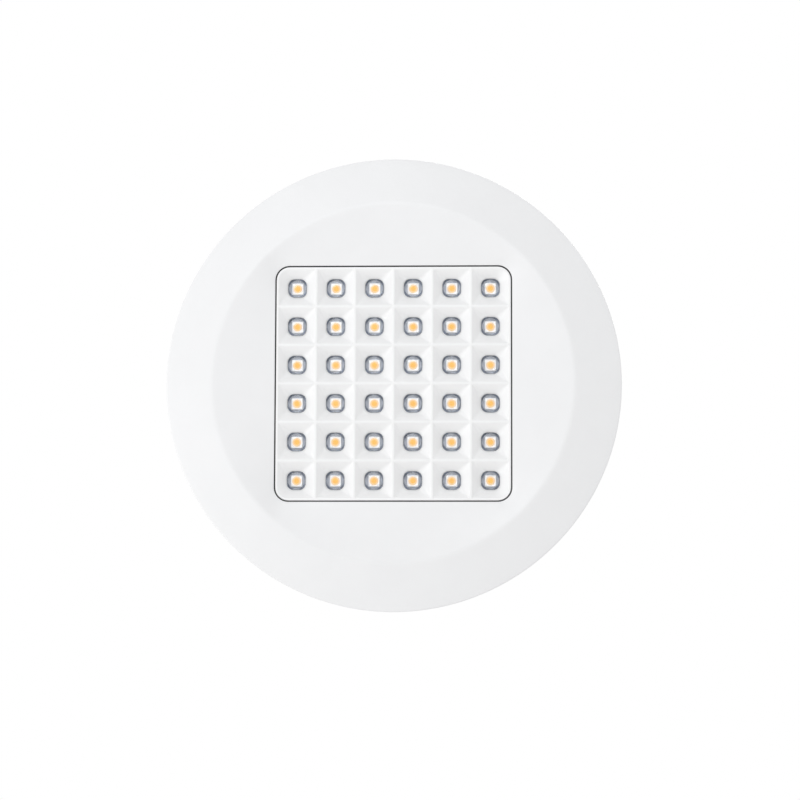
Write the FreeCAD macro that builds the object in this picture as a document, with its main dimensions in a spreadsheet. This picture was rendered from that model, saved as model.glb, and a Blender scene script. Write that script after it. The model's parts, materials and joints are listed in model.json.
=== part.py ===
import FreeCAD, Part
import math
import os
import re
import Sketcher
from FreeCAD import Placement, Rotation, Vector

# Recessed soffit downlight: round trim, square window, 6 x 6 louvre cells.
# Millimetres. Z = 0 is the underside of the soffit board, +Z goes up into the soffit, light leaves along -Z.

# ---------------------------------------------------------------- driving sizes
SIZES = [
    # trim
    ("trim_diameter", 220.0, "overall diameter of the trim"),
    ("rim_depth", 3.0, "lower edge of the trim's rim below the soffit"),
    ("crest_diameter", 174.6, "circle where the bevel meets the dish"),
    ("crest_depth", 9.0, "crest below the soffit"),
    ("window_size", 114.6, "square window across its flats"),
    ("window_corner", 7.0, "corner radius of the window"),
    ("window_depth", 5.4, "edge of the window below the soffit"),
    ("channel_depth", 4.4, "floor of the channel inside the spigot, below the soffit"),
    ("frame_wall", 2.7, "upright wall round the stack of lens parts"),
    ("collar_diameter", 195.0, "spigot that enters the cut-out"),
    ("collar_wall", 3.0, "wall of the spigot"),
    ("collar_height", 6.0, "spigot above the soffit face"),
    ("rib_width", 1.8, "ribs behind the dish"),
    ("boss_radius", 4.2, "screw bosses of the trim"),
    ("boss_inset", 1.6, "trim screws inside the middle of the land from the frame to the heat sink's edge"),
    ("trim_screw_radius", 1.9, "trim screws"),
    ("trim_screw_depth", 4.2, "ends of the trim screws below the soffit"),
    ("screw_play", 0.15, "screws in their bores"),
    # soffit gasket
    ("gasket_width", 8.7, "width of the soffit gasket"),
    ("gasket_height", 1.5, "thickness of the soffit gasket"),
    ("gasket_inset", 1.3, "collar to gasket"),
    # stack in the window
    ("ledge_drop", 2.6, "seat of the window gasket below the soffit"),
    ("stack_margin", 3.7, "how far the stack reaches behind the window's edge"),
    ("stack_play", 0.3, "side clearance of the stack in its frame"),
    ("gasket_foot", 1.0, "window gasket under the louvre's flange"),
    ("gasket_lip", 0.4, "window gasket in the gap round the louvre"),
    ("lip_play", 0.05, "clearance on both faces of that lip"),
    ("lip_recess", 0.4, "lip's front edge behind the window's edge"),
    # louvre
    ("cell_pitch", 18.7, "pitch of the cells"),
    ("ridge_width", 1.1, "top of the walls between cells"),
    ("ridge_recess", 0.3, "ridges behind the window's edge"),
    ("louvre_flange", 0.8, "flange of the louvre"),
    ("cell_floor", 0.4, "floor of a cell round its lens"),
    ("lens_window", 9.2, "square hole for a lens"),
    ("lens_corner", 3.2, "corner radius of a lens"),
    # lens plate
    ("lens_plate_height", 2.8, "thickness of the lens plate"),
    ("lens_play", 0.15, "lens to louvre clearance"),
    ("lens_proud", 1.0, "top of a lens above the cell's floor"),
    ("lens_bevel", 1.2, "sloping edge round a lens's front"),
    ("led_room", 0.4, "room between a phosphor and the lens plate"),
    # light source
    ("led_size", 5.0, "square LED package"),
    ("led_height", 1.2, "LED package"),
    ("phosphor_diameter", 4.1, "phosphor on a package"),
    ("phosphor_height", 0.3, "phosphor on a package"),
    ("board_size", 117.0, "LED board across its flats"),
    ("board_height", 1.6, "LED board"),
    ("board_gap", 0.1, "lens plate to LED board"),
    ("thermal_pad_height", 0.5, "thermal pad"),
    ("seal_width", 1.9, "lens seal"),
    # heat sink
    ("sink_diameter", 172.0, "base plate of the heat sink"),
    ("sink_base", 5.0, "base plate of the heat sink"),
    ("fin_top", 46.0, "flat top of the fins above the soffit"),
    ("fin_width", 2.0, "fins"),
    ("fin_inner", 34.0, "radius where the short fins begin"),
    ("fin_shoulder", 66.0, "radius where the fins begin to slope down"),
    ("fin_edge_top", 30.0, "height of the fins at their outer edge"),
    ("drum_radius", 16.0, "central drum"),
    ("drum_bore", 9.0, "radius of the wire way in the drum"),
    ("post_radius", 4.0, "posts under the driver box"),
    # spring clip
    ("clip_pad_inset", 6.0, "clip pads inside the heat sink's edge"),
    ("bracket_sheet", 1.5, "sheet of the clip bracket"),
    ("bracket_width", 20.0, "clip bracket across its ears"),
    ("bracket_foot", 12.0, "lower edge of the bracket"),
    ("ear_height", 11.0, "bracket ears"),
    ("hinge_height", 28.0, "hinge pin above the soffit"),
    ("pin_radius", 1.5, "hinge pin"),
    ("pin_play", 0.05, "running clearance of the arm on its pin"),
    ("pin_head", 2.5, "radius of the pin's heads"),
    ("wire_width", 1.4, "spring wire"),
    ("coil_radius", 3.6, "mean radius of the spring's coil"),
    ("coil_pitch", 2.1, "spring's coil"),
    ("spring_leg", 9.0, "legs of the spring"),
    ("arm_length", 30.0, "hinge pin to the end of the arm"),
    ("arm_width", 16.2, "arm across its cheeks"),
    ("arm_sheet", 1.2, "sheet of the arm"),
    ("arm_rest", 40.0, "angle of the arm below level, in degrees"),
    ("foot_height", 2.4, "rubber foot under the arm"),
    ("foot_length", 9.0, "rubber foot along the arm"),
    ("seat_play", 0.3, "clearance where a piece rests on another"),
    ("clip_screw_radius", 1.7, "clip screws"),
    ("clip_screw_length", 8.0, "clip screws' bores"),
    ("box_screw_radius", 1.5, "screws through the driver box's floor"),
    ("box_screw_length", 12.0, "their bores"),
    # driver box
    ("box_width", 66.0, "driver box, across the clips' line"),
    ("box_length", 116.0, "driver box"),
    ("box_height", 28.0, "driver box without its lid"),
    ("box_wall", 2.4, "wall of the driver box"),
    ("box_corner", 6.0, "upright corners of the driver box"),
    ("lid_height", 4.0, "driver lid"),
    ("lid_seal_height", 1.2, "flat seal under the lid"),
    ("standoff_height", 5.0, "standoffs under the driver board"),
    ("driver_board_margin", 2.6, "driver board inside the box's long walls"),
    ("driver_board_length", 84.0, "driver board"),
    ("driver_board_shift", 5.0, "driver board away from the gland"),
    ("lead_radius", 0.8, "insulated leads"),
    ("lead_spacing", 5.0, "leads, centre to centre"),
    # cable gland
    ("gland_height", 12.4, "gland's axis above the box's floor"),
    ("gland_thread", 8.0, "radius of the gland's threaded part"),
    ("gland_flats", 20.0, "gland hexagon across its flats"),
    ("gland_bore", 3.75, "radius of the cable's bore in the insert"),
]

# ---------------------------------------------------------------- levels that follow from them
LEVELS = [
    ("z_flange", "-gasket_height"),
    ("z_edge", "-window_depth"),
    ("z_ledge", "-ledge_drop"),
    ("z_flange_louvre", "z_ledge + gasket_foot"),
    ("z_plate", "z_flange_louvre + louvre_flange"),
    ("z_plate_back", "z_plate + lens_plate_height"),
    ("z_board", "z_plate_back + board_gap"),
    ("z_board_back", "z_board + board_height"),
    ("z_sink", "z_board_back + thermal_pad_height"),
    ("z_base", "z_sink + sink_base"),
    ("z_ridge", "z_edge + ridge_recess"),
    ("z_cell", "z_plate - cell_floor"),
    ("r_trim", "trim_diameter / 2"),
    ("r_crest", "crest_diameter / 2"),
    ("r_collar", "collar_diameter / 2"),
    ("r_collar_inside", "r_collar - collar_wall"),
    ("r_gasket", "r_collar + gasket_inset"),
    ("half_window", "window_size / 2"),
    ("half_stack", "half_window + stack_margin"),
    ("stack_corner", "window_corner + 1"),
    ("half_frame", "half_stack + stack_play + frame_wall"),
    ("half_louvre", "half_window - gasket_lip - 2 * lip_play"),
    ("louvre_corner", "window_corner - gasket_lip - 2 * lip_play"),
    ("half_board", "board_size / 2"),
    ("board_corner", "stack_corner - 2.5"),
    ("r_boss", "(half_frame / cos(22.5 deg) + sink_diameter / 2) / 2 - boss_inset"),
    ("clip_pad", "sink_diameter / 2 - clip_pad_inset"),
    ("plate_face", "clip_pad + bracket_sheet"),
    ("r_hinge", "plate_face + coil_radius + wire_width / 2 + seat_play"),
    ("web_drop", "coil_radius + wire_width / 2 + seat_play"),
    ("half_ear", "bracket_width / 2"),
    ("half_arm", "arm_width / 2"),
    ("driver_board_width", "box_width - 2 * (box_wall + driver_board_margin)"),
    ("z_box_floor", "fin_top + box_wall"),
    ("z_box_rim", "fin_top + box_height"),
    ("z_box_seal", "z_box_rim - lid_seal_height"),
    ("z_driver_board", "z_box_floor + standoff_height"),
    ("z_gland", "z_box_floor + gland_height"),
    ("y_gland", "-box_length / 2"),
]

CELLS = 6
FINS = 24
SIDES = 4
BORE_SIDES = 8

os.makedirs("parts", exist_ok=True)
doc = FreeCAD.newDocument("soffit_downlight")
sheet = doc.addObject("Spreadsheet::Sheet", "Sizes")
for row, (alias, number, meaning) in enumerate(SIZES, start=1):
    sheet.set(f"A{row}", meaning)
    sheet.set(f"B{row}", str(number))
    sheet.setAlias(f"B{row}", alias)
for row, (alias, formula) in enumerate(LEVELS, start=len(SIZES) + 2):
    sheet.set(f"A{row}", alias)
    sheet.set(f"B{row}", "=" + formula)
    sheet.setAlias(f"B{row}", alias)
doc.recompute()

WORDS = {entry[0] for entry in SIZES + LEVELS}
parts = []


# ---------------------------------------------------------------- shared helpers
def bound(formula):
    """The formula with every size in it pointed at its cell."""
    point = lambda word: "Sizes." + word.group() if word.group() in WORDS else word.group()
    return re.sub(r"[A-Za-z_]\w*", point, str(formula))


def size(formula):
    """What a formula of the sizes comes to."""
    return float(sheet.evalExpression(bound(formula)))


def part(item, name):
    """Marks an object as a finished piece with its own name."""
    item.Label = name
    parts.append(item)
    return item


def body(name):
    return part(doc.addObject("PartDesign::Body", name), name)


def origin(owner, role):
    return next(feature for feature in owner.Origin.OriginFeatures if feature.Role == role)


def sketch(owner, name, role="XY_Plane", height="0"):
    made = owner.newObject("Sketcher::SketchObject", name)
    made.AttachmentSupport = (origin(owner, role), [""])
    made.MapMode = "FlatFace"
    made.setExpression("AttachmentOffset.Base.z", bound(height))
    return made


def tie(flat, kind, *places, formula):
    """A dimension of a sketch that follows a formula."""
    number = flat.addConstraint(Sketcher.Constraint(kind, *places, size(formula)))
    flat.setExpression(f"Constraints[{number}]", bound(formula))


def arc_between(start, end, radius):
    """The shorter arc from start to end. It bulges to the right of the way, or to the left if radius is negative."""
    chord = end - start
    reach = math.sqrt(max(radius**2 - (chord.Length / 2) ** 2, 0.0))
    left = Vector(-chord.y, chord.x, 0).normalize()
    centre = (start + end) * 0.5 + left * math.copysign(reach, radius)
    first, last = (start, end) if radius > 0 else (end, start)
    angles = [math.atan2(spot.y - centre.y, spot.x - centre.x) for spot in (first, last)]
    circle = Part.Circle(centre, Vector(0, 0, 1), abs(radius))
    return Part.ArcOfCircle(circle, angles[0], angles[1])


def outline(flat, corners):
    """A closed outline. A corner is (x, y), or (x, y, radius) where the edge that leaves it is an arc."""
    first = flat.GeometryCount
    spots = [Vector(size(corner[0]), size(corner[1]), 0) for corner in corners]
    starts, ends = [], []
    for number, corner in enumerate(corners):
        start, end = spots[number], spots[(number + 1) % len(spots)]
        if len(corner) == 3:
            radius = size(corner[2])
            flat.addGeometry(arc_between(start, end, radius), False)
            starts.append(1 if radius > 0 else 2)
            ends.append(2 if radius > 0 else 1)
        else:
            flat.addGeometry(Part.LineSegment(start, end), False)
            starts.append(1)
            ends.append(2)
    for number, corner in enumerate(corners):
        here, after = first + number, first + (number + 1) % len(corners)
        end, start = ends[number], starts[(number + 1) % len(corners)]
        flat.addConstraint(Sketcher.Constraint("Coincident", here, end, after, start))
        tie(flat, "DistanceX", -1, 1, here, starts[number], formula=corner[0])
        tie(flat, "DistanceY", -1, 1, here, starts[number], formula=corner[1])
        if len(corner) == 3:
            tie(flat, "Radius", here, formula=f"abs({corner[2]})")


def rounded(flat, half_x, half_y, corner, x="0", y="0"):
    """A rectangle with rounded corners round the point x, y."""
    in_x, in_y = f"({half_x}) - ({corner})", f"({half_y}) - ({corner})"
    outline(flat, [
        (f"{x} + ({half_x})", f"{y} - ({in_y})"),
        (f"{x} + ({half_x})", f"{y} + ({in_y})", corner),
        (f"{x} + ({in_x})", f"{y} + ({half_y})"),
        (f"{x} - ({in_x})", f"{y} + ({half_y})", corner),
        (f"{x} - ({half_x})", f"{y} + ({in_y})"),
        (f"{x} - ({half_x})", f"{y} - ({in_y})", corner),
        (f"{x} - ({in_x})", f"{y} - ({half_y})"),
        (f"{x} + ({in_x})", f"{y} - ({half_y})", corner),
    ])


def circle(flat, x, y, radius):
    number = flat.addGeometry(Part.Circle(Vector(size(x), size(y), 0), Vector(0, 0, 1), size(radius)), False)
    tie(flat, "DistanceX", -1, 1, number, 3, formula=x)
    tie(flat, "DistanceY", -1, 1, number, 3, formula=y)
    tie(flat, "Radius", number, formula=radius)


def ngon(flat, sides, x, y, radius):
    """A regular outline whose flats are the radius away from the point x, y."""
    reach = f"({radius}) / cos({180 / sides} deg)"
    angles = [360 * (step + 0.5) / sides for step in range(sides)]
    outline(flat, [(f"{x} + {reach} * cos({turn} deg)", f"{y} + {reach} * sin({turn} deg)") for turn in angles])


def feature(owner, kind, name, flat, **settings):
    made = owner.newObject("PartDesign::" + kind, name)
    made.Profile = flat
    for key, value in settings.items():
        setattr(made, key, value)
    return made


def pad(owner, name, flat, length, **settings):
    made = feature(owner, "Pad", name, flat, **settings)
    made.setExpression("Length", bound(length))
    return made


def pocket(owner, name, flat, length, **settings):
    """A cut that goes down from its sketch."""
    made = feature(owner, "Pocket", name, flat, **settings)
    made.setExpression("Length", bound(length))
    return made


def revolve(owner, name, flat):
    return feature(owner, "Revolution", name, flat, ReferenceAxis=(flat, ["V_Axis"]))


def around(owner, name, originals, count, role="Z_Axis"):
    """Copies evenly round the body's axis."""
    made = owner.newObject("PartDesign::PolarPattern", name)
    made.Originals = originals
    made.Axis = (origin(owner, role), [""])
    made.Angle = 360
    made.Occurrences = count
    owner.Tip = made
    return made


def solid(name, shape):
    """A piece, or a group of alike pieces, whose shape is worked out here from the sizes."""
    made = doc.addObject("Part::Feature", name)
    made.Shape = shape
    return part(made, name)


def turned(shape, degrees):
    """A copy turned about the light's axis."""
    copy = shape.copy()
    copy.rotate(Vector(), Vector(0, 0, 1), degrees)
    return copy


def moved(shape, x, y, z):
    copy = shape.copy()
    copy.translate(Vector(x, y, z))
    return copy


def cylinder(radius, low, high, x=0.0, y=0.0):
    return Part.makeCylinder(radius, high - low, Vector(x, y, low))


def block(x0, x1, y0, y1, z0, z1):
    return Part.makeBox(x1 - x0, y1 - y0, z1 - z0, Vector(x0, y0, z0))


def rounded_block(half_x, half_y, corner, low, high):
    """A block round the axis with rounded upright edges."""
    plain = block(-half_x, half_x, -half_y, half_y, low, high)
    upright = [edge for edge in plain.Edges if abs(edge.tangentAt(edge.FirstParameter).z) > 0.9]
    return plain.makeFillet(corner, upright)


def ring_points(sides, radius, height, x=0.0, y=0.0):
    """The corners of a regular polygon."""
    steps = [2 * math.pi * (step + 0.5) / sides for step in range(sides + 1)]
    return [Vector(x + radius * math.cos(turn), y + radius * math.sin(turn), height) for turn in steps]


def prism(sides, radius, low, high, x=0.0, y=0.0):
    """A bar of regular section along Z."""
    return Part.Face(Part.makePolygon(ring_points(sides, radius, low, x, y))).extrude(Vector(0, 0, high - low))


def bore(radius, low, high, x=0.0, y=0.0):
    """A tool for a hole whose flats are the radius away from its axis."""
    return prism(BORE_SIDES, radius / math.cos(math.pi / BORE_SIDES), low, high, x, y)


def hexagon(flats, low, high):
    return prism(6, flats / math.sqrt(3), low, high)


def frustum(below, above):
    """A solid between two polygons of as many corners, whose edges run in line."""
    faces = [Part.Face(Part.makePolygon(below)), Part.Face(Part.makePolygon(above))]
    for first, second, third, fourth in zip(below, below[1:], above[1:], above):
        faces.append(Part.Face(Part.makePolygon([first, second, third, fourth, first])))
    return Part.makeSolid(Part.makeShell(faces))


def flat_face(*corners):
    return Part.Face(Part.makePolygon(list(corners) + [corners[0]]))


def eased_square(half, corner, height, x=0.0, y=0.0):
    """A square with its corners cut at 45 degrees."""
    near = half - corner
    spots = [(half, near), (near, half), (-near, half), (-half, near), (-half, -near), (-near, -half), (near, -half), (half, -near)]
    return [Vector(x + across, y + along, height) for across, along in spots + spots[:1]]


def cell_centres():
    """The middle of every louvre cell."""
    steps = [(number - (CELLS - 1) / 2) * size("cell_pitch") for number in range(CELLS)]
    return [(x, y) for y in steps for x in steps]


HEAD_SIDES = 10


def pan_screw(radius, length, head_radius, head_height):
    """A screw that hangs head up from the origin, with a domed head."""
    shoulder = head_height * 0.6
    shank = prism(6, radius, -length, 0)
    head = prism(HEAD_SIDES, head_radius, 0, shoulder)
    dome = frustum(
        ring_points(HEAD_SIDES, head_radius, shoulder),
        ring_points(HEAD_SIDES, head_radius * 0.7, head_height),
    )
    return shank.fuse([head, dome]).removeSplitter()


# ---------------------------------------------------------------- trim
FRAME_TOP_GAP = 0.2
FRAME_FOOT = "-channel_depth - 0.6"
BOSS_ANGLE = 22.5
RIBS = 8
DISH_CHORDS = 6
CORNER_CHORDS = 3
BOSS_X = f"r_boss * cos({BOSS_ANGLE} deg)"
BOSS_Y = f"r_boss * sin({BOSS_ANGLE} deg)"


def dish_tool():
    """The room in front of the dish, in flat strips from the crest's chords to as many lengths of the window's edge."""
    half, corner, radius = size("half_window"), size("window_corner"), size("r_crest")
    low, high = -size("crest_depth"), size("z_edge")
    side_turn = math.atan2(half - corner, half)
    corner_turn = math.pi / 2 - 2 * side_turn
    spots = []
    for step in range(DISH_CHORDS):
        share = 2 * step / DISH_CHORDS - 1
        spots.append((share * side_turn, half, share * (half - corner)))
    for step in range(CORNER_CHORDS):
        share = step / CORNER_CHORDS
        turn = share * math.pi / 2
        spot = (half - corner + corner * math.cos(turn), half - corner + corner * math.sin(turn))
        spots.append((side_turn + share * corner_turn, *spot))
    crest, edge = [], []
    for quarter in range(SIDES):
        quarter_turn = Rotation(90 * quarter, 0, 0)
        for angle, x, y in spots:
            crest.append(quarter_turn.multVec(Vector(radius * math.cos(angle), radius * math.sin(angle), low)))
            edge.append(quarter_turn.multVec(Vector(x, y, high)))
    faces = [flat_face(*crest), flat_face(*edge)]
    for number in range(len(crest)):
        after = (number + 1) % len(crest)
        faces.append(flat_face(crest[number], crest[after], edge[number]))
        faces.append(flat_face(crest[after], edge[after], edge[number]))
    return Part.makeSolid(Part.makeShell(faces))


def make_trim():
    trim = doc.addObject("PartDesign::Body", "trim_blank")
    # round section: crest, bevel, rim, flange, collar and the channel's floor
    ring = sketch(trim, "ring_section", "XZ_Plane")
    outline(ring, [
        ("0", "-crest_depth"),
        ("r_crest", "-crest_depth"),
        ("r_trim", "-rim_depth"),
        ("r_trim", "z_flange"),
        ("r_collar", "z_flange"),
        ("r_collar", "collar_height"),
        ("r_collar_inside", "collar_height"),
        ("r_collar_inside", "-channel_depth"),
        ("0", "-channel_depth"),
    ])
    revolve(trim, "ring", ring)
    # upright frame round the stack of lens parts
    frame = sketch(trim, "frame_outline", height=FRAME_FOOT)
    rounded(frame, "half_frame", "half_frame", "stack_corner + stack_play + frame_wall")
    pad(trim, "frame", frame, f"z_sink - {FRAME_TOP_GAP} - ({FRAME_FOOT})")
    # stiffening ribs in the channel, and the screw bosses
    rib = sketch(trim, "rib_section", "XZ_Plane")
    rib_start = "half_stack + stack_play + frame_wall / 2"
    outline(rib, [
        (rib_start, FRAME_FOOT),
        ("r_collar_inside + 1", FRAME_FOOT),
        ("r_collar_inside + 1", "z_flange"),
        (rib_start, "z_flange"),
    ])
    first_rib = pad(trim, "rib", rib, "rib_width", SideType="Symmetric")
    around(trim, "ribs", [first_rib], RIBS)
    boss_outline = sketch(trim, "boss_outline", height=FRAME_FOOT)
    ngon(boss_outline, BORE_SIDES, BOSS_X, BOSS_Y, "boss_radius")
    boss = pad(trim, "boss", boss_outline, f"z_sink - ({FRAME_FOOT})")
    around(trim, "bosses", [boss], SIDES)
    # pocket for the stack, and the window
    seat = sketch(trim, "stack_outline", height="z_sink + 1")
    rounded(seat, "half_stack + stack_play", "half_stack + stack_play", "stack_corner + stack_play")
    pocket(trim, "stack_pocket", seat, "z_sink + 1 - z_ledge")
    window = sketch(trim, "window_outline", height="z_sink")
    rounded(window, "half_window", "half_window", "window_corner")
    pocket(trim, "window", window, "z_sink + crest_depth + 1")
    drilled = sketch(trim, "boss_hole", height="z_sink + 1")
    ngon(drilled, BORE_SIDES, BOSS_X, BOSS_Y, "trim_screw_radius + screw_play")
    bore = pocket(trim, "boss_bore", drilled, "z_sink + 1 + trim_screw_depth + seat_play")
    around(trim, "boss_bores", [bore], SIDES)
    # the dish that falls back from the crest to the window
    doc.recompute()
    solid("trim", trim.Shape.cut(dish_tool()))


def make_soffit_gasket():
    gasket = body("soffit_gasket")
    section = sketch(gasket, "gasket_section", "XZ_Plane")
    outline(section, [
        ("r_gasket", "-gasket_height"),
        ("r_gasket + gasket_width", "-gasket_height"),
        ("r_gasket + gasket_width", "0"),
        ("r_gasket", "0"),
    ])
    revolve(gasket, "gasket_ring", section)


# ---------------------------------------------------------------- stack in the window
def make_window_gasket():
    gasket = body("window_gasket")
    foot = sketch(gasket, "foot_outline", height="z_ledge")
    rounded(foot, "half_stack", "half_stack", "stack_corner")
    rounded(foot, "half_louvre + lip_play", "half_louvre + lip_play", "louvre_corner + lip_play")
    pad(gasket, "foot", foot, "gasket_foot")
    lip = sketch(gasket, "lip_outline", height="z_edge + lip_recess")
    rounded(lip, "half_window - lip_play", "half_window - lip_play", "window_corner - lip_play")
    rounded(lip, "half_louvre + lip_play", "half_louvre + lip_play", "louvre_corner + lip_play")
    pad(gasket, "lip", lip, "z_ledge - z_edge - lip_recess")


def louvre_cutter(rounding):
    """The room in one cell: a square mouth whose walls close in on the lens. Its first corner is cut round by the rounding."""
    ridge, floor = size("z_ridge"), size("z_cell")
    mouth, hole, eased = size("(cell_pitch - ridge_width) / 2"), size("lens_window / 2"), size("lens_corner / 2")
    middle = mouth - rounding * (1 - math.sqrt(0.5))
    round_corner = [(mouth, mouth - rounding), (middle, middle), (mouth - rounding, mouth)]
    corners = [round_corner if rounding else [(mouth, mouth)]] + [[(mouth, mouth)]] * (SIDES - 1)
    place = lambda spot, quarter, height: Placement(Vector(), Rotation(90 * quarter, 0, 0)).multVec(Vector(*spot, height))
    above = [[place(spot, quarter, ridge) for spot in spots] for quarter, spots in enumerate(corners)]
    below = [[place(spot, quarter, floor) for spot in ((hole, hole - eased), (hole - eased, hole))] for quarter in range(SIDES)]
    faces = [flat_face(*sum(above, [])), flat_face(*sum(below, []))]
    for quarter in range(SIDES):
        spots, (first, second) = above[quarter], below[quarter]
        centre = len(spots) // 2
        faces += [flat_face(here, first, there) for here, there in zip(spots[:centre], spots[1:])]
        faces.append(flat_face(spots[centre], first, second))
        faces += [flat_face(here, second, there) for here, there in zip(spots[centre:], spots[centre + 1:])]
        following = (quarter + 1) % SIDES
        faces.append(flat_face(spots[-1], second, below[following][0], above[following][0]))
    return Part.makeSolid(Part.makeShell(faces))


def make_louvre():
    ridge, back = size("z_ridge"), size("z_plate")
    core = rounded_block(size("half_louvre"), size("half_louvre"), size("louvre_corner"), ridge, back)
    flange = rounded_block(size("half_stack"), size("half_stack"), size("stack_corner"), size("z_flange_louvre"), back)
    plain = louvre_cutter(0)
    rounded_one = louvre_cutter(size(f"({CELLS} * cell_pitch - ridge_width) / 2 - half_louvre + louvre_corner"))
    hole = Part.Face(Part.makePolygon(eased_square(size("lens_window / 2"), size("lens_corner / 2"), size("z_cell"))))
    hole = hole.extrude(Vector(0, 0, back - size("z_cell")))
    tools = []
    for x, y in cell_centres():
        at_corner = abs(abs(x) - abs(y)) < 0.1 and abs(x) > size("half_louvre - cell_pitch")
        turn = math.degrees(math.atan2(y, x)) - 45
        tools.append(moved(turned(rounded_one, turn) if at_corner else plain, x, y, 0))
        tools.append(moved(hole, x, y, 0))
    solid("louvre", core.fuse(flange).cut(tools))


def make_lens_plate():
    low, high = size("z_plate"), size("z_plate_back")
    plate = rounded_block(size("half_stack"), size("half_stack"), size("stack_corner"), low, high)
    half, eased = size("lens_window / 2 - lens_play"), size("lens_corner / 2")
    bevel, front = size("lens_bevel"), size("z_cell - lens_proud")
    lens = frustum(eased_square(half - bevel, eased - bevel / 2, front), eased_square(half, eased, low))
    reach = size(f"{CELLS} * cell_pitch / 2 - 1")
    depth = size("led_height + phosphor_height + led_room")
    room = block(-reach, reach, -reach, reach, high - depth, high + 1)
    lenses = [moved(lens, x, y, 0) for x, y in cell_centres()]
    solid("lens_plate", plate.fuse(lenses).cut(room))


def make_lens_seal():
    seal = body("lens_seal")
    ring = sketch(seal, "seal_outline", height="z_plate_back")
    rounded(ring, "half_stack", "half_stack", "stack_corner")
    rounded(ring, "half_stack - seal_width", "half_stack - seal_width", "stack_corner - seal_width")
    pad(seal, "seal", ring, "z_sink - z_plate_back")


PHOSPHOR_SIDES = 8
CONNECTOR_HEIGHT = 6.5


def make_light_source():
    top, low, back = size("z_board"), size("z_board - led_height"), size("z_board_back")
    half, corner, spacing = size("half_board"), size("board_corner"), size("lead_spacing") / 2
    pin_holes = [block(x - 0.6, x + 0.6, -0.6, 0.6, top - 1, back + 1) for x in (-spacing, spacing)]
    solid("led_board", rounded_block(half, half, corner, top, back).cut(pin_holes))

    reach = size("led_size") / 2
    package = block(-reach, reach, -reach, reach, low, top)
    solid("led_packages", Part.makeCompound([moved(package, x, y, 0) for x, y in cell_centres()]))
    dot = prism(PHOSPHOR_SIDES, size("phosphor_diameter") / 2, low - size("phosphor_height"), low)
    solid("led_phosphors", Part.makeCompound([moved(dot, x, y, 0) for x, y in cell_centres()]))

    sheet_half = half - 1
    thermal = rounded_block(sheet_half, sheet_half, corner - 1, back, size("z_sink"))
    solid("thermal_pad", thermal.cut(block(-5.2, 5.2, -3.6, 3.6, back - 1, size("z_sink") + 1)))
    solid("board_connector", block(-4.6, 4.6, -3, 3, back, back + CONNECTOR_HEIGHT))
    pins = [block(x - 0.5, x + 0.5, -0.5, 0.5, top - 0.6, back) for x in (-spacing, spacing)]
    solid("board_contacts", Part.makeCompound(pins))


# ---------------------------------------------------------------- heat sink
def post_places():
    """Formulas for the centres of the two posts that carry the driver box."""
    return [("0", f"{sign} * (box_length / 2 - 15)") for sign in (-1, 1)]


DRUM_SIDES = 12


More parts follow.
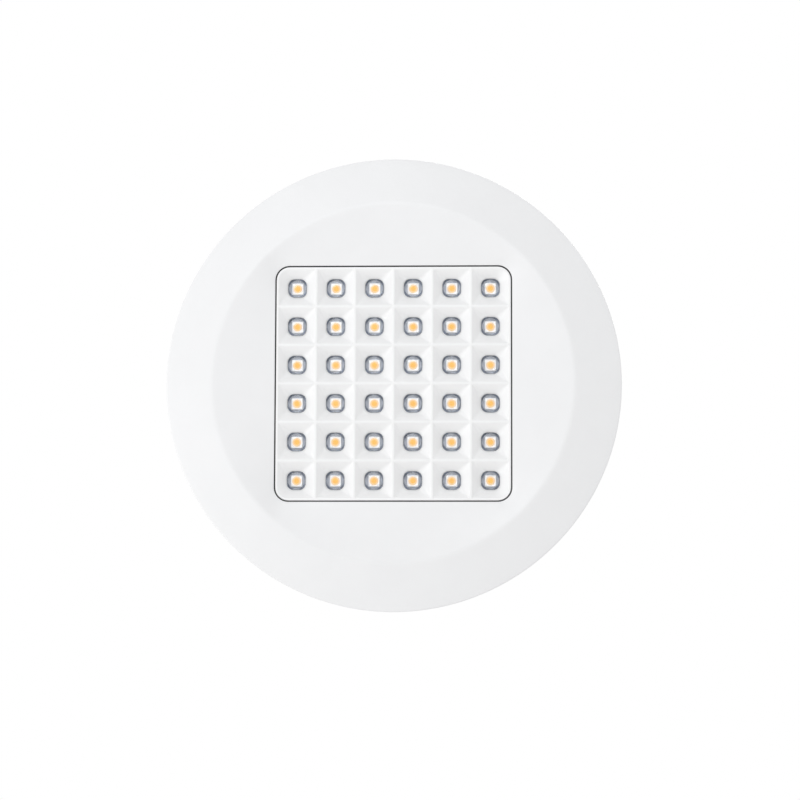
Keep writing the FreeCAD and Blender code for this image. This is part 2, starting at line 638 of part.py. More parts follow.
def make_heat_sink():
    sink = body("heat_sink")
    base = sketch(sink, "base_outline", height="z_sink")
    circle(base, "0", "0", "sink_diameter / 2")
    pad(sink, "base", base, "sink_base")
    fin_foot = "z_base - 1"
    drum = sketch(sink, "drum_outline", height=fin_foot)
    ngon(drum, DRUM_SIDES, "0", "0", "drum_radius")
    pad(sink, "drum", drum, f"fin_top - ({fin_foot})")
    short_fin = sketch(sink, "short_fin_section", "XZ_Plane")
    outline(short_fin, [
        ("fin_inner", fin_foot),
        ("sink_diameter / 2 - 2", fin_foot),
        ("sink_diameter / 2 - 2", "fin_edge_top"),
        ("fin_shoulder", "fin_top"),
        ("fin_inner", "fin_top"),
    ])
    fin = pad(sink, "fin", short_fin, "fin_width", SideType="Symmetric")
    around(sink, "fins", [fin], FINS)
    web = sketch(sink, "web_section", "XZ_Plane")
    outline(web, [
        ("drum_radius - 1", fin_foot),
        ("fin_inner + 2", fin_foot),
        ("fin_inner + 2", "fin_top - 8"),
        ("drum_radius - 1", "fin_top - 8"),
    ])
    spoke = pad(sink, "long_fin_web", web, "fin_width", SideType="Symmetric")
    around(sink, "long_fin_webs", [spoke], FINS // 3)
    # blocks that the clip brackets are screwed to
    block_flat = sketch(sink, "clip_block_outline", height=fin_foot)
    half_block = "clip_pad * sin(10 deg)"
    outline(block_flat, [
        ("clip_pad - 9", f"-({half_block})"),
        ("clip_pad + 3", f"-({half_block})"),
        ("clip_pad + 3", half_block),
        ("clip_pad - 9", half_block),
    ])
    clip_block = pad(sink, "clip_block", block_flat, f"fin_top - 2 - ({fin_foot})")
    around(sink, "clip_blocks", [clip_block], 2)
    recess_flat = sketch(sink, "clip_recess_outline", height="fin_top + 1")
    half_recess = "bracket_width / 2 + 3.2"
    outline(recess_flat, [
        ("clip_pad", f"-({half_recess})"),
        ("sink_diameter / 2 + 4", f"-({half_recess})"),
        ("sink_diameter / 2 + 4", half_recess),
        ("clip_pad", half_recess),
    ])
    recess = pocket(sink, "clip_recess", recess_flat, "fin_top + 1 - z_base")
    around(sink, "clip_recesses", [recess], 2)
    way = sketch(sink, "wire_way", height="fin_top")
    ngon(way, DRUM_SIDES, "0", "0", "drum_bore")
    pocket(sink, "wire_bore", way, "fin_top - z_sink")
    # posts under the driver box, then the screw holes
    posts = sketch(sink, "post_outlines", height=fin_foot)
    for x, y in post_places():
        outline(posts, [
            (f"{x} + post_radius", f"{y} - post_radius"),
            (f"{x} + post_radius", f"{y} + post_radius"),
            (f"{x} - post_radius", f"{y} + post_radius"),
            (f"{x} - post_radius", f"{y} - post_radius"),
        ])
    pad(sink, "posts", posts, f"fin_top - ({fin_foot})")
    drilled = sketch(sink, "post_holes", height="fin_top")
    for x, y in post_places():
        ngon(drilled, BORE_SIDES, x, y, "box_screw_radius + screw_play")
    pocket(sink, "post_bores", drilled, "box_screw_length")
    passing = sketch(sink, "trim_screw_hole", height="z_base")
    ngon(passing, BORE_SIDES, BOSS_X, BOSS_Y, "trim_screw_radius + 0.35")
    trim_hole = pocket(sink, "trim_hole", passing, "sink_base")
    around(sink, "trim_holes", [trim_hole], SIDES)
    clip_hole = sketch(sink, "clip_screw_hole", "YZ_Plane", "clip_pad")
    ngon(clip_hole, BORE_SIDES, "0", CLIP_SCREW_HEIGHT, "clip_screw_radius + screw_play")
    clip_bore = pocket(sink, "clip_bore", clip_hole, "clip_screw_length")
    around(sink, "clip_bores", [clip_bore], 2)


CLIP_SCREW_HEIGHT = "fin_top - 5.5"


def make_trim_screws():
    top = size("z_base")
    screw = pan_screw(size("trim_screw_radius"), top + size("trim_screw_depth"), 3.7, 2.6)
    screw = moved(screw, size(BOSS_X), size(BOSS_Y), top)
    solid("trim_screws", Part.makeCompound([turned(screw, 90 * quarter) for quarter in range(SIDES)]))


# ---------------------------------------------------------------- spring clips
def clip_frame(shape, side):
    """Puts a clip piece, made on the +X side, on its own side of the light."""
    return turned(shape, 180) if side == "left" else shape


def arm_turn(shape):
    """Turns a piece made with the arm level down to the arm's rest."""
    copy = shape.copy()
    hinge = Vector(size("r_hinge"), 0, size("hinge_height"))
    copy.rotate(hinge, Vector(0, 1, 0), size("arm_rest"))
    return copy


def across(radius, length, start, x, z):
    """A round bar along Y."""
    return Part.makeCylinder(radius, length, Vector(x, start, z), Vector(0, 1, 0))


def make_bracket(side):
    face, back = size("plate_face"), size("clip_pad")
    half, wall = size("half_ear"), size("bracket_sheet")
    x, z, ear = size("r_hinge"), size("hinge_height"), size("ear_height") / 2
    plate = block(back, face, -half, half, size("bracket_foot"), size("fin_top - 3"))
    nose = ear * 0.45
    cheek_outline = [
        (back, z - ear), (x + nose, z - ear), (x + ear, z - nose),
        (x + ear, z + nose), (x + nose, z + ear), (back, z + ear), (back, z - ear),
    ]
    cheek = Part.Face(Part.makePolygon([Vector(along, half, up) for along, up in cheek_outline]))
    cheek = cheek.extrude(Vector(0, -wall, 0))
    ears = [cheek, moved(cheek, 0, wall - 2 * half, 0)]
    pin_bore = across(size("pin_radius + 0.02"), 3 * half, -1.5 * half, x, z)
    hole = bore(size("clip_screw_radius + 0.3"), -1, wall + 1)
    hole.rotate(Vector(), Vector(0, 1, 0), 90)
    hole = moved(hole, back, 0, size(CLIP_SCREW_HEIGHT))
    shape = plate.fuse(ears).cut([pin_bore, hole]).removeSplitter()
    solid(f"clip_bracket_{side}", clip_frame(shape, side))


def make_pin(side):
    half, head = size("half_ear"), 1.0
    x, z = size("r_hinge"), size("hinge_height")
    shank = across(size("pin_radius"), 2 * half + 0.8, -half, x, z)
    disc = prism(BORE_SIDES, size("pin_head"), 0, head)
    disc.rotate(Vector(), Vector(1, 0, 0), -90)
    shape = shank.fuse(moved(disc, x, -half - head, z))
    solid(f"clip_pin_{side}", clip_frame(shape, side))


def make_arm(side):
    """The arm is made level, reaching out along +X, and then turned down to its stop."""
    x, z = size("r_hinge"), size("hinge_height")
    half, wall = size("half_arm"), size("arm_sheet")
    length, drop = size("arm_length"), size("web_drop")
    rest = math.radians(size("arm_rest"))
    bottom = z - drop - wall
    stop_gap = size("plate_face + seat_play") - x
    heel = x + (stop_gap + (drop + wall) * math.sin(rest)) / math.cos(rest)
    eased = half * 0.5
    web_outline = [
        (heel, -half), (x + length - eased, -half), (x + length, eased - half),
        (x + length, half - eased), (x + length - eased, half), (heel, half), (heel, -half),
    ]
    web = Part.Face(Part.makePolygon([Vector(along, beside, bottom) for along, beside in web_outline]))
    web = web.extrude(Vector(0, 0, wall))
    eye = size("pin_radius") + 2.2
    cheek_outline = [
        (heel, bottom), (x + length * 0.6, bottom), (x + length * 0.6, bottom + wall), (x + eye, z + eye * 0.4),
        (x + eye * 0.4, z + eye), (x - eye * 0.4, z + eye), (x - eye, z + eye * 0.4), (x - eye, z - eye * 0.4), (heel, bottom),
    ]
    cheek = Part.Face(Part.makePolygon([Vector(along, half, up) for along, up in cheek_outline]))
    cheek = cheek.extrude(Vector(0, -wall, 0))
    cheeks = [cheek, moved(cheek, 0, wall - 2 * half, 0)]
    pin_bore = across(size("pin_radius + pin_play"), 3 * half, -1.5 * half, x, z)
    shape = web.fuse(cheeks).cut(pin_bore).removeSplitter()
    solid(f"clip_arm_{side}", clip_frame(arm_turn(shape), side))

    foot_half, foot_end, foot_start = half - 1.2, x + length - 1.2, x + length - 1.2 - size("foot_length")
    cut = foot_half * 0.5
    low = bottom - size("foot_height")
    foot_outline = [
        (foot_start, -foot_half), (foot_end - cut, -foot_half), (foot_end, cut - foot_half),
        (foot_end, foot_half - cut), (foot_end - cut, foot_half), (foot_start, foot_half), (foot_start, -foot_half),
    ]
    foot = Part.Face(Part.makePolygon([Vector(along, beside, low) for along, beside in foot_outline]))
    foot = foot.extrude(Vector(0, 0, size("foot_height")))
    solid(f"clip_foot_{side}", clip_frame(arm_turn(foot), side))


SPRING_TURNS = 2
WIRE_SIDES = 6
TURN_STEPS = 4


def spring_points():
    """Ends and middles of the coil's arcs about the hinge. Each middle is where the arcs run on smoothly."""
    radius, pitch = size("coil_radius"), size("coil_pitch")
    sweep = math.radians(90 - size("arm_rest")) + 2 * math.pi * SPRING_TURNS
    pieces = 2 * (TURN_STEPS * SPRING_TURNS + 1)
    half_step = sweep / pieces
    half_chord = math.hypot(radius * math.sin(half_step), pitch * half_step / (2 * math.pi))
    bend = math.atan(radius * math.sin(half_step) ** 2 / (half_chord * math.cos(half_step)))
    middle = radius * math.cos(half_step) + half_chord * math.tan(bend / 2)
    spots = []
    for number in range(pieces + 1):
        angle = half_step * number
        reach = middle if number % 2 else radius
        rise = pitch * (angle - sweep / 2) / (2 * math.pi)
        spots.append(Vector(reach * math.cos(math.pi + angle), rise, reach * math.sin(math.pi + angle)))
    return spots


def arc_centre(first, second, third):
    """The centre and the axis of the arc through three points."""
    near, far = second - first, third - first
    axis = near.cross(far)
    out = far * near.Length**2 - near * far.Length**2
    return first + out.cross(axis) * (0.5 / axis.Length**2), axis.normalize()


def make_spring(side):
    """One unbroken wire: a leg up the bracket, the coil in arcs, each turned about its own axis, and a leg along the arm."""
    spots = spring_points()
    leg, width = size("spring_leg"), size("wire_width")
    rest = math.radians(size("arm_rest"))
    centre, axis = arc_centre(*spots[:3])
    wire_end = Part.Face(Part.makePolygon(ring_points(WIRE_SIDES, width / 2, 0)))
    wire_end.Placement = Placement(spots[0], Rotation(Vector(0, 0, 1), axis.cross(spots[0] - centre)))
    stretches = [wire_end.extrude(Vector(0, 0, leg))]
    for first, middle, last in zip(spots[::2], spots[1::2], spots[2::2]):
        centre, axis = arc_centre(first, middle, last)
        turn = math.degrees((first - centre).getAngle(last - centre))
        stretches.append(wire_end.revolve(centre, axis, turn))
        wire_end.rotate(centre, axis, turn)
    stretches.append(wire_end.extrude(Vector(math.cos(rest), 0, -math.sin(rest)) * leg))
    shape = stretches[0].fuse(stretches[1:])
    shape = moved(shape, size("r_hinge"), 0, size("hinge_height"))
    solid(f"clip_spring_{side}", clip_frame(shape, side))
    gap = min(
        (spots[first] - spots[second]).Length
        for first in range(len(spots))
        for second in range(first + TURN_STEPS, len(spots))
    ) - width
    print(f"clip_spring_{side}: least gap of the coil to itself {gap:.2f} mm, {len(shape.Solids)} solid")


def make_clip_screws():
    screw = pan_screw(size("clip_screw_radius"), size("clip_screw_length + bracket_sheet") - 0.6, 3.4, 2.0)
    screw.rotate(Vector(), Vector(0, 1, 0), 90)
    screw = moved(screw, size("plate_face"), 0, size(CLIP_SCREW_HEIGHT))
    solid("clip_screws", Part.makeCompound([screw, turned(screw, 180)]))


# ---------------------------------------------------------------- driver box
LID_SCREW_INSET = 5.0
PEG = 1.2


def lid_screw_places():
    x, y = size("box_width / 2") - LID_SCREW_INSET, size("box_length / 2") - LID_SCREW_INSET
    return [(x, y), (-x, y), (-x, -y), (x, -y)]


def peg_places():
    """The four pegs that the driver board drops over."""
    x = size("driver_board_width / 2") - 3.5
    y = size("driver_board_length / 2") - 3.5
    shift = size("driver_board_shift")
    return [(x, y + shift), (-x, y + shift), (-x, shift - y), (x, shift - y)]


def make_driver_box():
    low, floor, rim = size("fin_top"), size("z_box_floor"), size("z_box_seal")
    half_x, half_y = size("box_width / 2"), size("box_length / 2")
    wall, corner, stand = size("box_wall"), size("box_corner"), size("z_driver_board")
    shell = rounded_block(half_x, half_y, corner, low, rim)
    room = rounded_block(half_x - wall, half_y - wall, corner - wall, floor, rim + 1)
    posts = []
    for x, y in lid_screw_places():
        post = block(x - 3.4, x + 3.4, y - 3.4, y + 3.4, floor, rim)
        posts.append(moved(post, math.copysign(0.6, x), math.copysign(0.6, y), 0))
    stands = [block(x - 2.5, x + 2.5, y - 2.5, y + 2.5, floor, stand) for x, y in peg_places()]
    pegs = [block(x - PEG, x + PEG, y - PEG, y + PEG, stand, stand + 3) for x, y in peg_places()]
    shape = shell.cut(room).fuse([post.common(shell) for post in posts] + stands + pegs)
    cuts = [bore(1.5, rim - 14, rim + 1, x, y) for x, y in lid_screw_places()]
    cuts += [bore(size("box_screw_radius + 0.3"), low - 1, floor + 1, size(x), size(y)) for x, y in post_places()]
    cuts.append(prism(NECK_SIDES, GROMMET_NECK + 0.1, low - 1, floor + 1))
    cuts.append(gland_turn(prism(GLAND_SIDES, size("gland_thread") + 0.2, -wall - 1, 1)))
    solid("driver_box", shape.cut(cuts).removeSplitter())

    screw = pan_screw(size("box_screw_radius"), size("box_wall + box_screw_length") - 0.6, 2.8, 2.0)
    solid("driver_box_screws", Part.makeCompound([moved(screw, size(x), size(y), floor) for x, y in post_places()]))


def make_driver_lid():
    seat, rim, top = size("z_box_seal"), size("z_box_rim"), size("z_box_rim + lid_height")
    half_x, half_y, corner = size("box_width / 2"), size("box_length / 2"), size("box_corner")
    wall, inset = size("box_wall"), 0.4
    lid = rounded_block(half_x, half_y, corner, rim, top)
    holes = [bore(1.75, seat - 1, top + 1, x, y) for x, y in lid_screw_places()]
    solid("driver_lid", lid.cut(holes))
    sheet_of_seal = rounded_block(half_x - inset, half_y - inset, corner - inset, seat, rim)
    room = block(wall - half_x, half_x - wall, wall - half_y, half_y - wall, seat - 1, rim + 1)
    pads = [block(x - 3.4, x + 3.4, y - 3.4, y + 3.4, seat - 2, rim + 2) for x, y in lid_screw_places()]
    solid("driver_lid_seal", sheet_of_seal.cut([room.cut(pads)] + holes))
    screw = pan_screw(1.35, top - seat + 8, 2.9, 1.8)
    solid("driver_lid_screws", Part.makeCompound([moved(screw, x, y, top) for x, y in lid_screw_places()]))


def make_driver_electronics():
    low = size("z_driver_board")
    half_x, half_y = size("driver_board_width / 2"), size("driver_board_length / 2")
    shift, top = size("driver_board_shift"), size("z_driver_board") + 1.6
    board = block(-half_x, half_x, shift - half_y, shift + half_y, low, top)
    reach = PEG + 0.1
    slots = [block(x - reach, x + reach, y - reach, y + reach, low - 1, top + 1) for x, y in peg_places()]
    solid("driver_board", board.cut(slots))

    # transformer: a ferrite frame with a bobbin through its windows
    core = block(-14, 14, shift - 7, shift + 7, top + 0.5, top + 16)
    windows = [block(x, x + 5.5, shift - 8, shift + 8, top + 4, top + 12.5) for x in (-10, 4.5)]
    solid("transformer_core", core.cut(windows))
    coil = block(-9.8, 9.8, shift - 11, shift + 11, top + 4.2, top + 12.3)
    limb = block(-4.7, 4.7, shift - 7.2, shift + 7.2, top, top + 17)
    legs = [block(x, x + 4, y, y + 2, top, top + 4.2) for x in (-9.8, 5.8) for y in (shift - 10.5, shift + 8.5)]
    solid("transformer_winding", coil.cut(limb).fuse(legs))

    tall = [prism(CAN_SIDES, 6.2, top, top + 15.5, x, shift + 25) for x in (-14, 1)]
    solid("capacitors", Part.makeCompound(tall))
    solid("film_capacitor", block(8, 24, shift - 24, shift - 17, top, top + 12))
    ferrite = prism(CAN_SIDES, 7, top, top + 3).fuse([
        prism(CAN_SIDES, 3.5, top + 3, top + 9),
        prism(CAN_SIDES, 7, top + 9, top + 12),
    ])
    solid("choke", moved(ferrite, -14, shift - 21, 0))
    terminal = block(-10, 10, shift - 40, shift - 29, top, top + 12)
    mouths = [block(x - 2, x + 2, shift - 41, shift - 33, top + 2, top + 6) for x in (-6.5, 0, 6.5)]
    solid("supply_terminal", terminal.cut(mouths))


CAN_SIDES = 12


# ---------------------------------------------------------------- leads between driver and board
GROMMET_NECK = 6.4
GROMMET_PLAY = 0.1
NECK_SIDES = 12
LEAD_ROUTE = [(0.0, 0.0, 0.0), (0.0, 0.0, -11.5), (0.9, 0.7, -20.0), (-0.5, -0.4, -29.0), (0.0, 0.0, -36.0)]


def make_grommet():
    low, floor, side = size("fin_top"), size("z_box_floor"), size("lead_spacing") / 2
    neck = prism(NECK_SIDES, GROMMET_NECK, low, floor)
    flange = prism(NECK_SIDES, GROMMET_NECK + 1.6, floor, floor + 1.5)
    hole = prism(LEAD_SIDES, size("lead_radius") + GROMMET_PLAY, low - 1, floor + 2)
    solid("lead_grommet", neck.fuse(flange).cut([moved(hole, -side, 0, 0), moved(hole, side, 0, 0)]))


LEAD_SIDES = 6


def make_lead(name, side):
    """A lead that leaves the driver board, passes the grommet and hangs down the drum to the connector."""
    x, top, low = side * size("lead_spacing") / 2, size("z_driver_board"), size("z_board_back") + CONNECTOR_HEIGHT
    scale = (top - low) / -LEAD_ROUTE[-1][2] / 1.12
    spots = [Vector(x + side * out, across, top + drop * scale) for out, across, drop in LEAD_ROUTE]
    spots.append(Vector(x, 0, low))
    edges, here, radii = [], spots[0], []
    for before, corner, after in zip(spots, spots[1:], spots[2:]):
        into, out = (corner - before).normalize(), (after - corner).normalize()
        turn = into.getAngle(out)
        radius = 0.45 * min((corner - before).Length, (after - corner).Length) / math.tan(turn / 2)
        reach = radius * math.tan(turn / 2)
        start, end = corner - into * reach, corner + out * reach
        bisector = (out - into).normalize()
        middle = corner + bisector * (radius / math.cos(turn / 2) - radius)
        edges.append(Part.LineSegment(here, start).toShape())
        edges.append(Part.Arc(start, middle, end).toShape())
        here = end
        radii.append(radius)
    edges.append(Part.LineSegment(here, spots[-1]).toShape())
    path = Part.Wire(edges)
    corners = ring_points(LEAD_SIDES, size("lead_radius"), spots[0].z, spots[0].x, spots[0].y)
    ring = Part.makePolygon(corners)
    shape = path.makePipeShell([ring], True, False)
    expected = Part.Face(ring).Area * path.Length
    print(f"{name}: radii {[round(radius, 1) for radius in radii]}, volume {shape.Volume:.1f} of {expected:.1f} mm3")
    solid(name, shape)


# ---------------------------------------------------------------- cable gland
def gland_turn(shape):
    """Takes a piece made along Z, with the box's outer face at 0, to the gland's axis along -Y."""
    copy = shape.copy()
    copy.rotate(Vector(), Vector(1, 0, 0), 90)
    copy.translate(Vector(0, size("y_gland"), size("z_gland")))
    return copy


GLAND_SIDES = 16


def make_gland():
    thread, flats, bore_radius = size("gland_thread"), size("gland_flats"), size("gland_bore")
    wall = size("box_wall")
    seat, front, skin = 5.0, 8.0, 1.5
    shank = prism(GLAND_SIDES, thread, -wall - 6, front)
    way = prism(GLAND_SIDES, bore_radius + 0.8, -wall - 8, front + 1)
    solid("gland_body", gland_turn(shank.fuse(hexagon(flats, 0, seat)).cut(way)))
    locknut = hexagon(flats, -wall - 4, -wall).cut(prism(GLAND_SIDES, thread + 0.1, -wall - 5, 0))
    solid("gland_locknut", gland_turn(locknut))
    end = front + 4.5
    insert = prism(GLAND_SIDES, thread - 0.2, front, end)
    insert = insert.cut(Part.makeCylinder(bore_radius, 9, Vector(0, 0, front - 1)))
    solid("gland_seal", gland_turn(insert))
    nut = frustum(
        ring_points(6, flats / math.sqrt(3), end - 1),
        ring_points(6, (thread + 1.2) * 2 / math.sqrt(3), end + skin),
    ).fuse(hexagon(flats, seat + 0.5, end - 1))
    inside = prism(GLAND_SIDES, thread + 0.1, seat, end)
    mouth = prism(GLAND_SIDES, bore_radius + 0.8, end - 1, end + 3)
    solid("gland_nut", gland_turn(nut.cut([inside, mouth])))


# ---------------------------------------------------------------- build, check, write
make_trim()
make_soffit_gasket()
make_window_gasket()
make_louvre()
make_lens_plate()
make_lens_seal()
make_light_source()
make_heat_sink()
make_trim_screws()
for side in ("right", "left"):
    make_bracket(side)
    make_pin(side)
    make_arm(side)
    make_spring(side)
make_clip_screws()
make_driver_box()
make_driver_lid()
make_driver_electronics()
make_grommet()
make_lead("lead_positive", 1)
make_lead("lead_negative", -1)
make_gland()
doc.recompute()

for item in doc.Objects:
    if "Invalid" in item.State or "Error" in item.State:
        raise RuntimeError(f"{item.Name} didn't compute")
for item in parts:
    if item.Shape.isNull() or not item.Shape.isValid():
        raise RuntimeError(f"{item.Label} has no valid shape")
for item in parts:
    item.Shape.exportStep(f"parts/{item.Label}.step")
print(f"{len(parts)} parts written")
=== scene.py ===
import json
import math

import bmesh
import bpy
from mathutils import Matrix, Vector


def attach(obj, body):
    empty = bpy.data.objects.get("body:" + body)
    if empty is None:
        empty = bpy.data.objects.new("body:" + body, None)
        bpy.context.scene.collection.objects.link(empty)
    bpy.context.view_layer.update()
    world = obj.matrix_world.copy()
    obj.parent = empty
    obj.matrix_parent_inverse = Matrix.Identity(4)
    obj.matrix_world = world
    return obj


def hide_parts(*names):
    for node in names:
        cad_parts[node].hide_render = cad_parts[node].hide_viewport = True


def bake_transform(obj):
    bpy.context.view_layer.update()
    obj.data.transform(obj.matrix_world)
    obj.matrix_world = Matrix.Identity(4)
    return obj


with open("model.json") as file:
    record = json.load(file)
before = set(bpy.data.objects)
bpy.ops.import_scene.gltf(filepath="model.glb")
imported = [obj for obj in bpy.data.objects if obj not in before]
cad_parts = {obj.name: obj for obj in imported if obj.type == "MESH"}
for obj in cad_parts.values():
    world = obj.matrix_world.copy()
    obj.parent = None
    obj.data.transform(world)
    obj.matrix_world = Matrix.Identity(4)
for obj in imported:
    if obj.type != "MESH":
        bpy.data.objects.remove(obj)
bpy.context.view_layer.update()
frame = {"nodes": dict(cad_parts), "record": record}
MM = 0.001
scene = bpy.context.scene

# camera: distance in metres, leans in degrees, roll in radians, lens in millimetres, shifts in pixels
CAMERA_DISTANCE, LEAN_RIGHT, LEAN_DOWN, CAMERA_ROLL = 1.475, 2.5, 6.8, 0.0033
CAMERA_LENS, SENSOR, SHIFT_RIGHT, SHIFT_UP, PICTURE = 137.35, 36, 6.3, -15.6, 800
NEAREST, FARTHEST, PICTURE_TOP = 0.05, 50, (0, -1, 0)

# studio, in metres and watts: each softbox has its place, size, power and colour
SURROUND_LIGHT, SURROUND_SEEN = 0.865, 1.0
SOFTBOXES = {
    "key_left": ((-1.15, 0.35, -0.58), (0.9, 0.9), 4.4, (1, 1, 1)),
    "near_fill": ((-0.12, -0.33, -0.62), (0.35, 0.25), 0.6, (0.9, 0.95, 1.0)),
    "back_fill": ((0.6, -0.9, 1.0), (1.0, 0.8), 6.0, (1, 1, 1)),
}
FLOOR_R, FLOOR_SIDES, FLOOR_Z, FLOOR_WHITE, FLOOR_LIFT = 40, 96, -1.8, 0.92, 0.2

# sizes in millimetres, as in the solids: 0 is the soffit's underside, light leaves downwards
# trim: window, dish, crest, bevel, rim, collar, channel, frame round the window, ribs, bosses. An ease is how
# far a corner is rounded, and its middle is how far the round lies from both of the corner's faces
WINDOW, WINDOW_CORNER, WINDOW_Z, LEDGE_Z = 57.3, 7.0, -5.4, -2.6
LIP, DISH_START = 0.35, 1.3
CREST_R, CREST_Z, CREST_BEND = 87.3, -9.0, 1.3
RIM_R, RIM_Z, RIM_BEND, FLANGE_Z = 109.96, -3.0, 0.7, -1.5
DISH_STEPS, CREST_STEPS, BEVEL_STEPS, RIM_STEPS = 8, 8, 6, 5
RIM_EASE, FLANGE_EASE = 0.15, 0.3
COLLAR_R, COLLAR_IN, COLLAR_TOP = 97.5, 94.5, 6.0
COLLAR_EASE, COLLAR_EASE_MIDDLE, COLLAR_IN_EASE = 0.5, (0.15, 0.12), 0.4
CHANNEL_Z, CHANNEL_EASE, COLLAR_FOOT_MIDDLE, FRAME_FOOT_MIDDLE = -4.4, 0.8, 0.25, 0.2
FRAME_IN, FRAME_IN_CORNER = 61.3, 8.3
FRAME_OUT, FRAME_OUT_CORNER, FRAME_TOP, FRAME_EASE = 64.0, 11.0, 4.0, 0.3
RIBS, RIB_STARTS, RIB_END, RIB_HALF, RIB_EASE, RIB_ROOT = 8, (63.6, 85.4), 94.8, 0.9, 0.35, 0.4
BOSSES, BOSS_AT, BOSS_ANGLE, BOSS_SIDES = 4, 76.0367, 22.5, 40
BOSS_BORE, BOSS_R, BOSS_EASE, BOSS_FOOT, BOSS_FOOT_Z, BOSS_ROOT = 2.05, 4.2, 0.3, 5.0, -3.8, 0.2
SIDE_STEPS, CORNER_STEPS = 56, 16
SIDE_TURN = math.atan2(WINDOW - WINDOW_CORNER, WINDOW)

# louvre and lenses: both mouldings' flanges end on the square of the stack
CELLS, PITCH = 6, 18.7
STACK, STACK_CORNER = 61.0, 8.0
LOUVRE, LOUVRE_CORNER, FLANGE_DEPTH = 56.65, 6.35, 0.8
LOUVRE_EASE, LOUVRE_EASE_MIDDLE = 0.2, 0.06
RIDGE_Z, RIDGE_HALF, RIDGE_CORNER = -5.1, 0.55, 0.45
CELL_Z, PLATE_Z, PLATE_BACK = -1.2, -0.8, 2.0
MOUTH_EDGE = ((-0.12, 0.0), (0.0, 0.05), (0.12, 0.16))  # inset and drop
WALL_SHARES = (0.3, 0.6, 0.9, 0.985)
LENS_HOLE, LENS_HOLE_CORNER, HOLE_LAND = 4.5, 3.1, 0.08
LENS_SIDE = (  # half width, corner and height
    (4.36, 2.98, PLATE_Z), (4.36, 2.98, -1.25), (4.3, 2.93, -1.48), (4.17, 2.9, -1.62),
)
DOME_R, DOME_BEND, DOME_Z, DOME_STEPS = 3.9, 15.5, -2.2, 9
ROOM_HALF, ROOM_DEPTH = 55.1, 1.9
EDGE_STEPS, ARC_STEPS = 6, 4
CELL_SIDE_STEPS = 2 * ARC_STEPS + EDGE_STEPS

# package on its board: the cup and the phosphor in it are given as radius and depth in from the face
BOARD_Z, PACKAGE_HALF, PACKAGE_HEIGHT, PACKAGE_EASE, PACKAGE_CORNER = 2.1, 2.5, 1.2, 0.12, 0.15
PACKAGE_Z, PHOSPHOR_SIDES = BOARD_Z - PACKAGE_HEIGHT, 36
CUP = ((2.18, 0.0), (2.08, 0.05), (1.9, 0.45))
PHOSPHOR = ((2.0, 0.4), (2.04, 0.1), (2.0, -0.02), (1.7, -0.12), (1.2, -0.2), (0.6, -0.25), (0.2, -0.27))

# screws: thread radius, length, head radius and head height, and where the heads lie
TRIM_SCREW, LID_SCREW = (1.9, 13.4, 3.7, 2.6), (1.35, 13.2, 2.9, 1.8)
CLIP_SCREW, BOX_SCREW = (1.7, 8.9, 3.4, 2.0), (1.5, 13.8, 2.8, 2.0)
SINK_Z, BASE_Z = 4.2, 9.2
LID_TOP, LID_SCREWS_X, LID_SCREWS_Y = 78.0, 56, 106
BRACKET_FACE, CLIP_SCREW_Z = 81.5, 40.5
BOX_SCREW_Y, BOX_SCREW_Z = 43, 48.4
SCREW_TIP = 0.7
# shares of the thread's radius
THREAD_PITCH, THREAD_ROOT, THREAD_END, NECK = 0.5, 0.8, 0.55, (0.9, 0.95)
# shares of the head's radius and height, and the cross as its reach, half width and height
PAN_HEAD = ((0.96, 0.0), (1.0, 0.08), (1.0, 0.45), (0.97, 0.62), (0.9, 0.78), (0.8, 0.9), (0.66, 0.98))
CROSS = ((0.56, 0.15, 1.0), (0.52, 0.12, 0.85), (0.42, 0.1, 0.3))
CROSS_FLOOR = 0.25

# springs, about their hinge
HINGE, COIL_R, COIL_RISE, COIL_SWEEP, COIL_STEPS = (86.1, 0, 28), 3.6, 2.1, math.radians(770), 72
WIRE_R, WIRE_END, SPRING_LEG, LEG_STEPS, ARM_REST = 0.7, 0.25, 9.0, 4, math.radians(40)
SPRING_SHARED = 1.5

# gland, along its own axis from the box's wall. A row of two is a ring's radius and height, a row of three is
# a hexagon's half width, the radius that cuts its corners and its height
GLAND_AT, GLAND_SIDES = (0, -58, 60.8), 48
NUT_FOOT = ((8.1, 5.9), (8.5, 5.5))
NUT_FLATS = ((10, 10.3, 5.5), (10, 11.2, 6.0), (10, 11.2, 10.9), (10, 10.6, 11.45), (9.9, 10.0, 11.8))
NUT_DOME = (
    (9.6, 12.5), (9.2, 13.1), (8.5, 13.6), (7.4, 13.9), (6.0, 14.0), (5.0, 13.95), (4.6, 13.7), (4.55, 12.5),
    (8.1, 12.5),
)
BODY_END = ((4.55, -8.2), (4.75, -8.4), (7.6, -8.4))
BODY_THREAD_FROM, BODY_THREAD_TO, BODY_PITCH, BODY_RISE = -8.2, -0.6, 0.75, 0.35
BODY_CREST, BODY_ROOT = 8.0, 7.45
BODY_NECK = ((7.6, 0.0),)
BODY_FLATS = ((10, 10.6, 0.0), (10, 11.3, 0.5), (10, 11.3, 4.5), (10, 10.6, 5.0))
BODY_SLEEVE = (
    (7.6, 5.0), (7.5, 5.4), (8.0, 5.8), (7.5, 6.3), (8.0, 6.8), (7.5, 7.3), (7.6, 8.0), (4.75, 8.0),
    (4.55, 7.8),
)
SEAL_SECTION = (
    (4.05, 8.0), (3.75, 8.3), (3.75, 12.1), (4.1, 12.4), (5.2, 12.5), (7.5, 12.5), (7.8, 12.2), (7.8, 8.2),
    (7.6, 8.0),
)

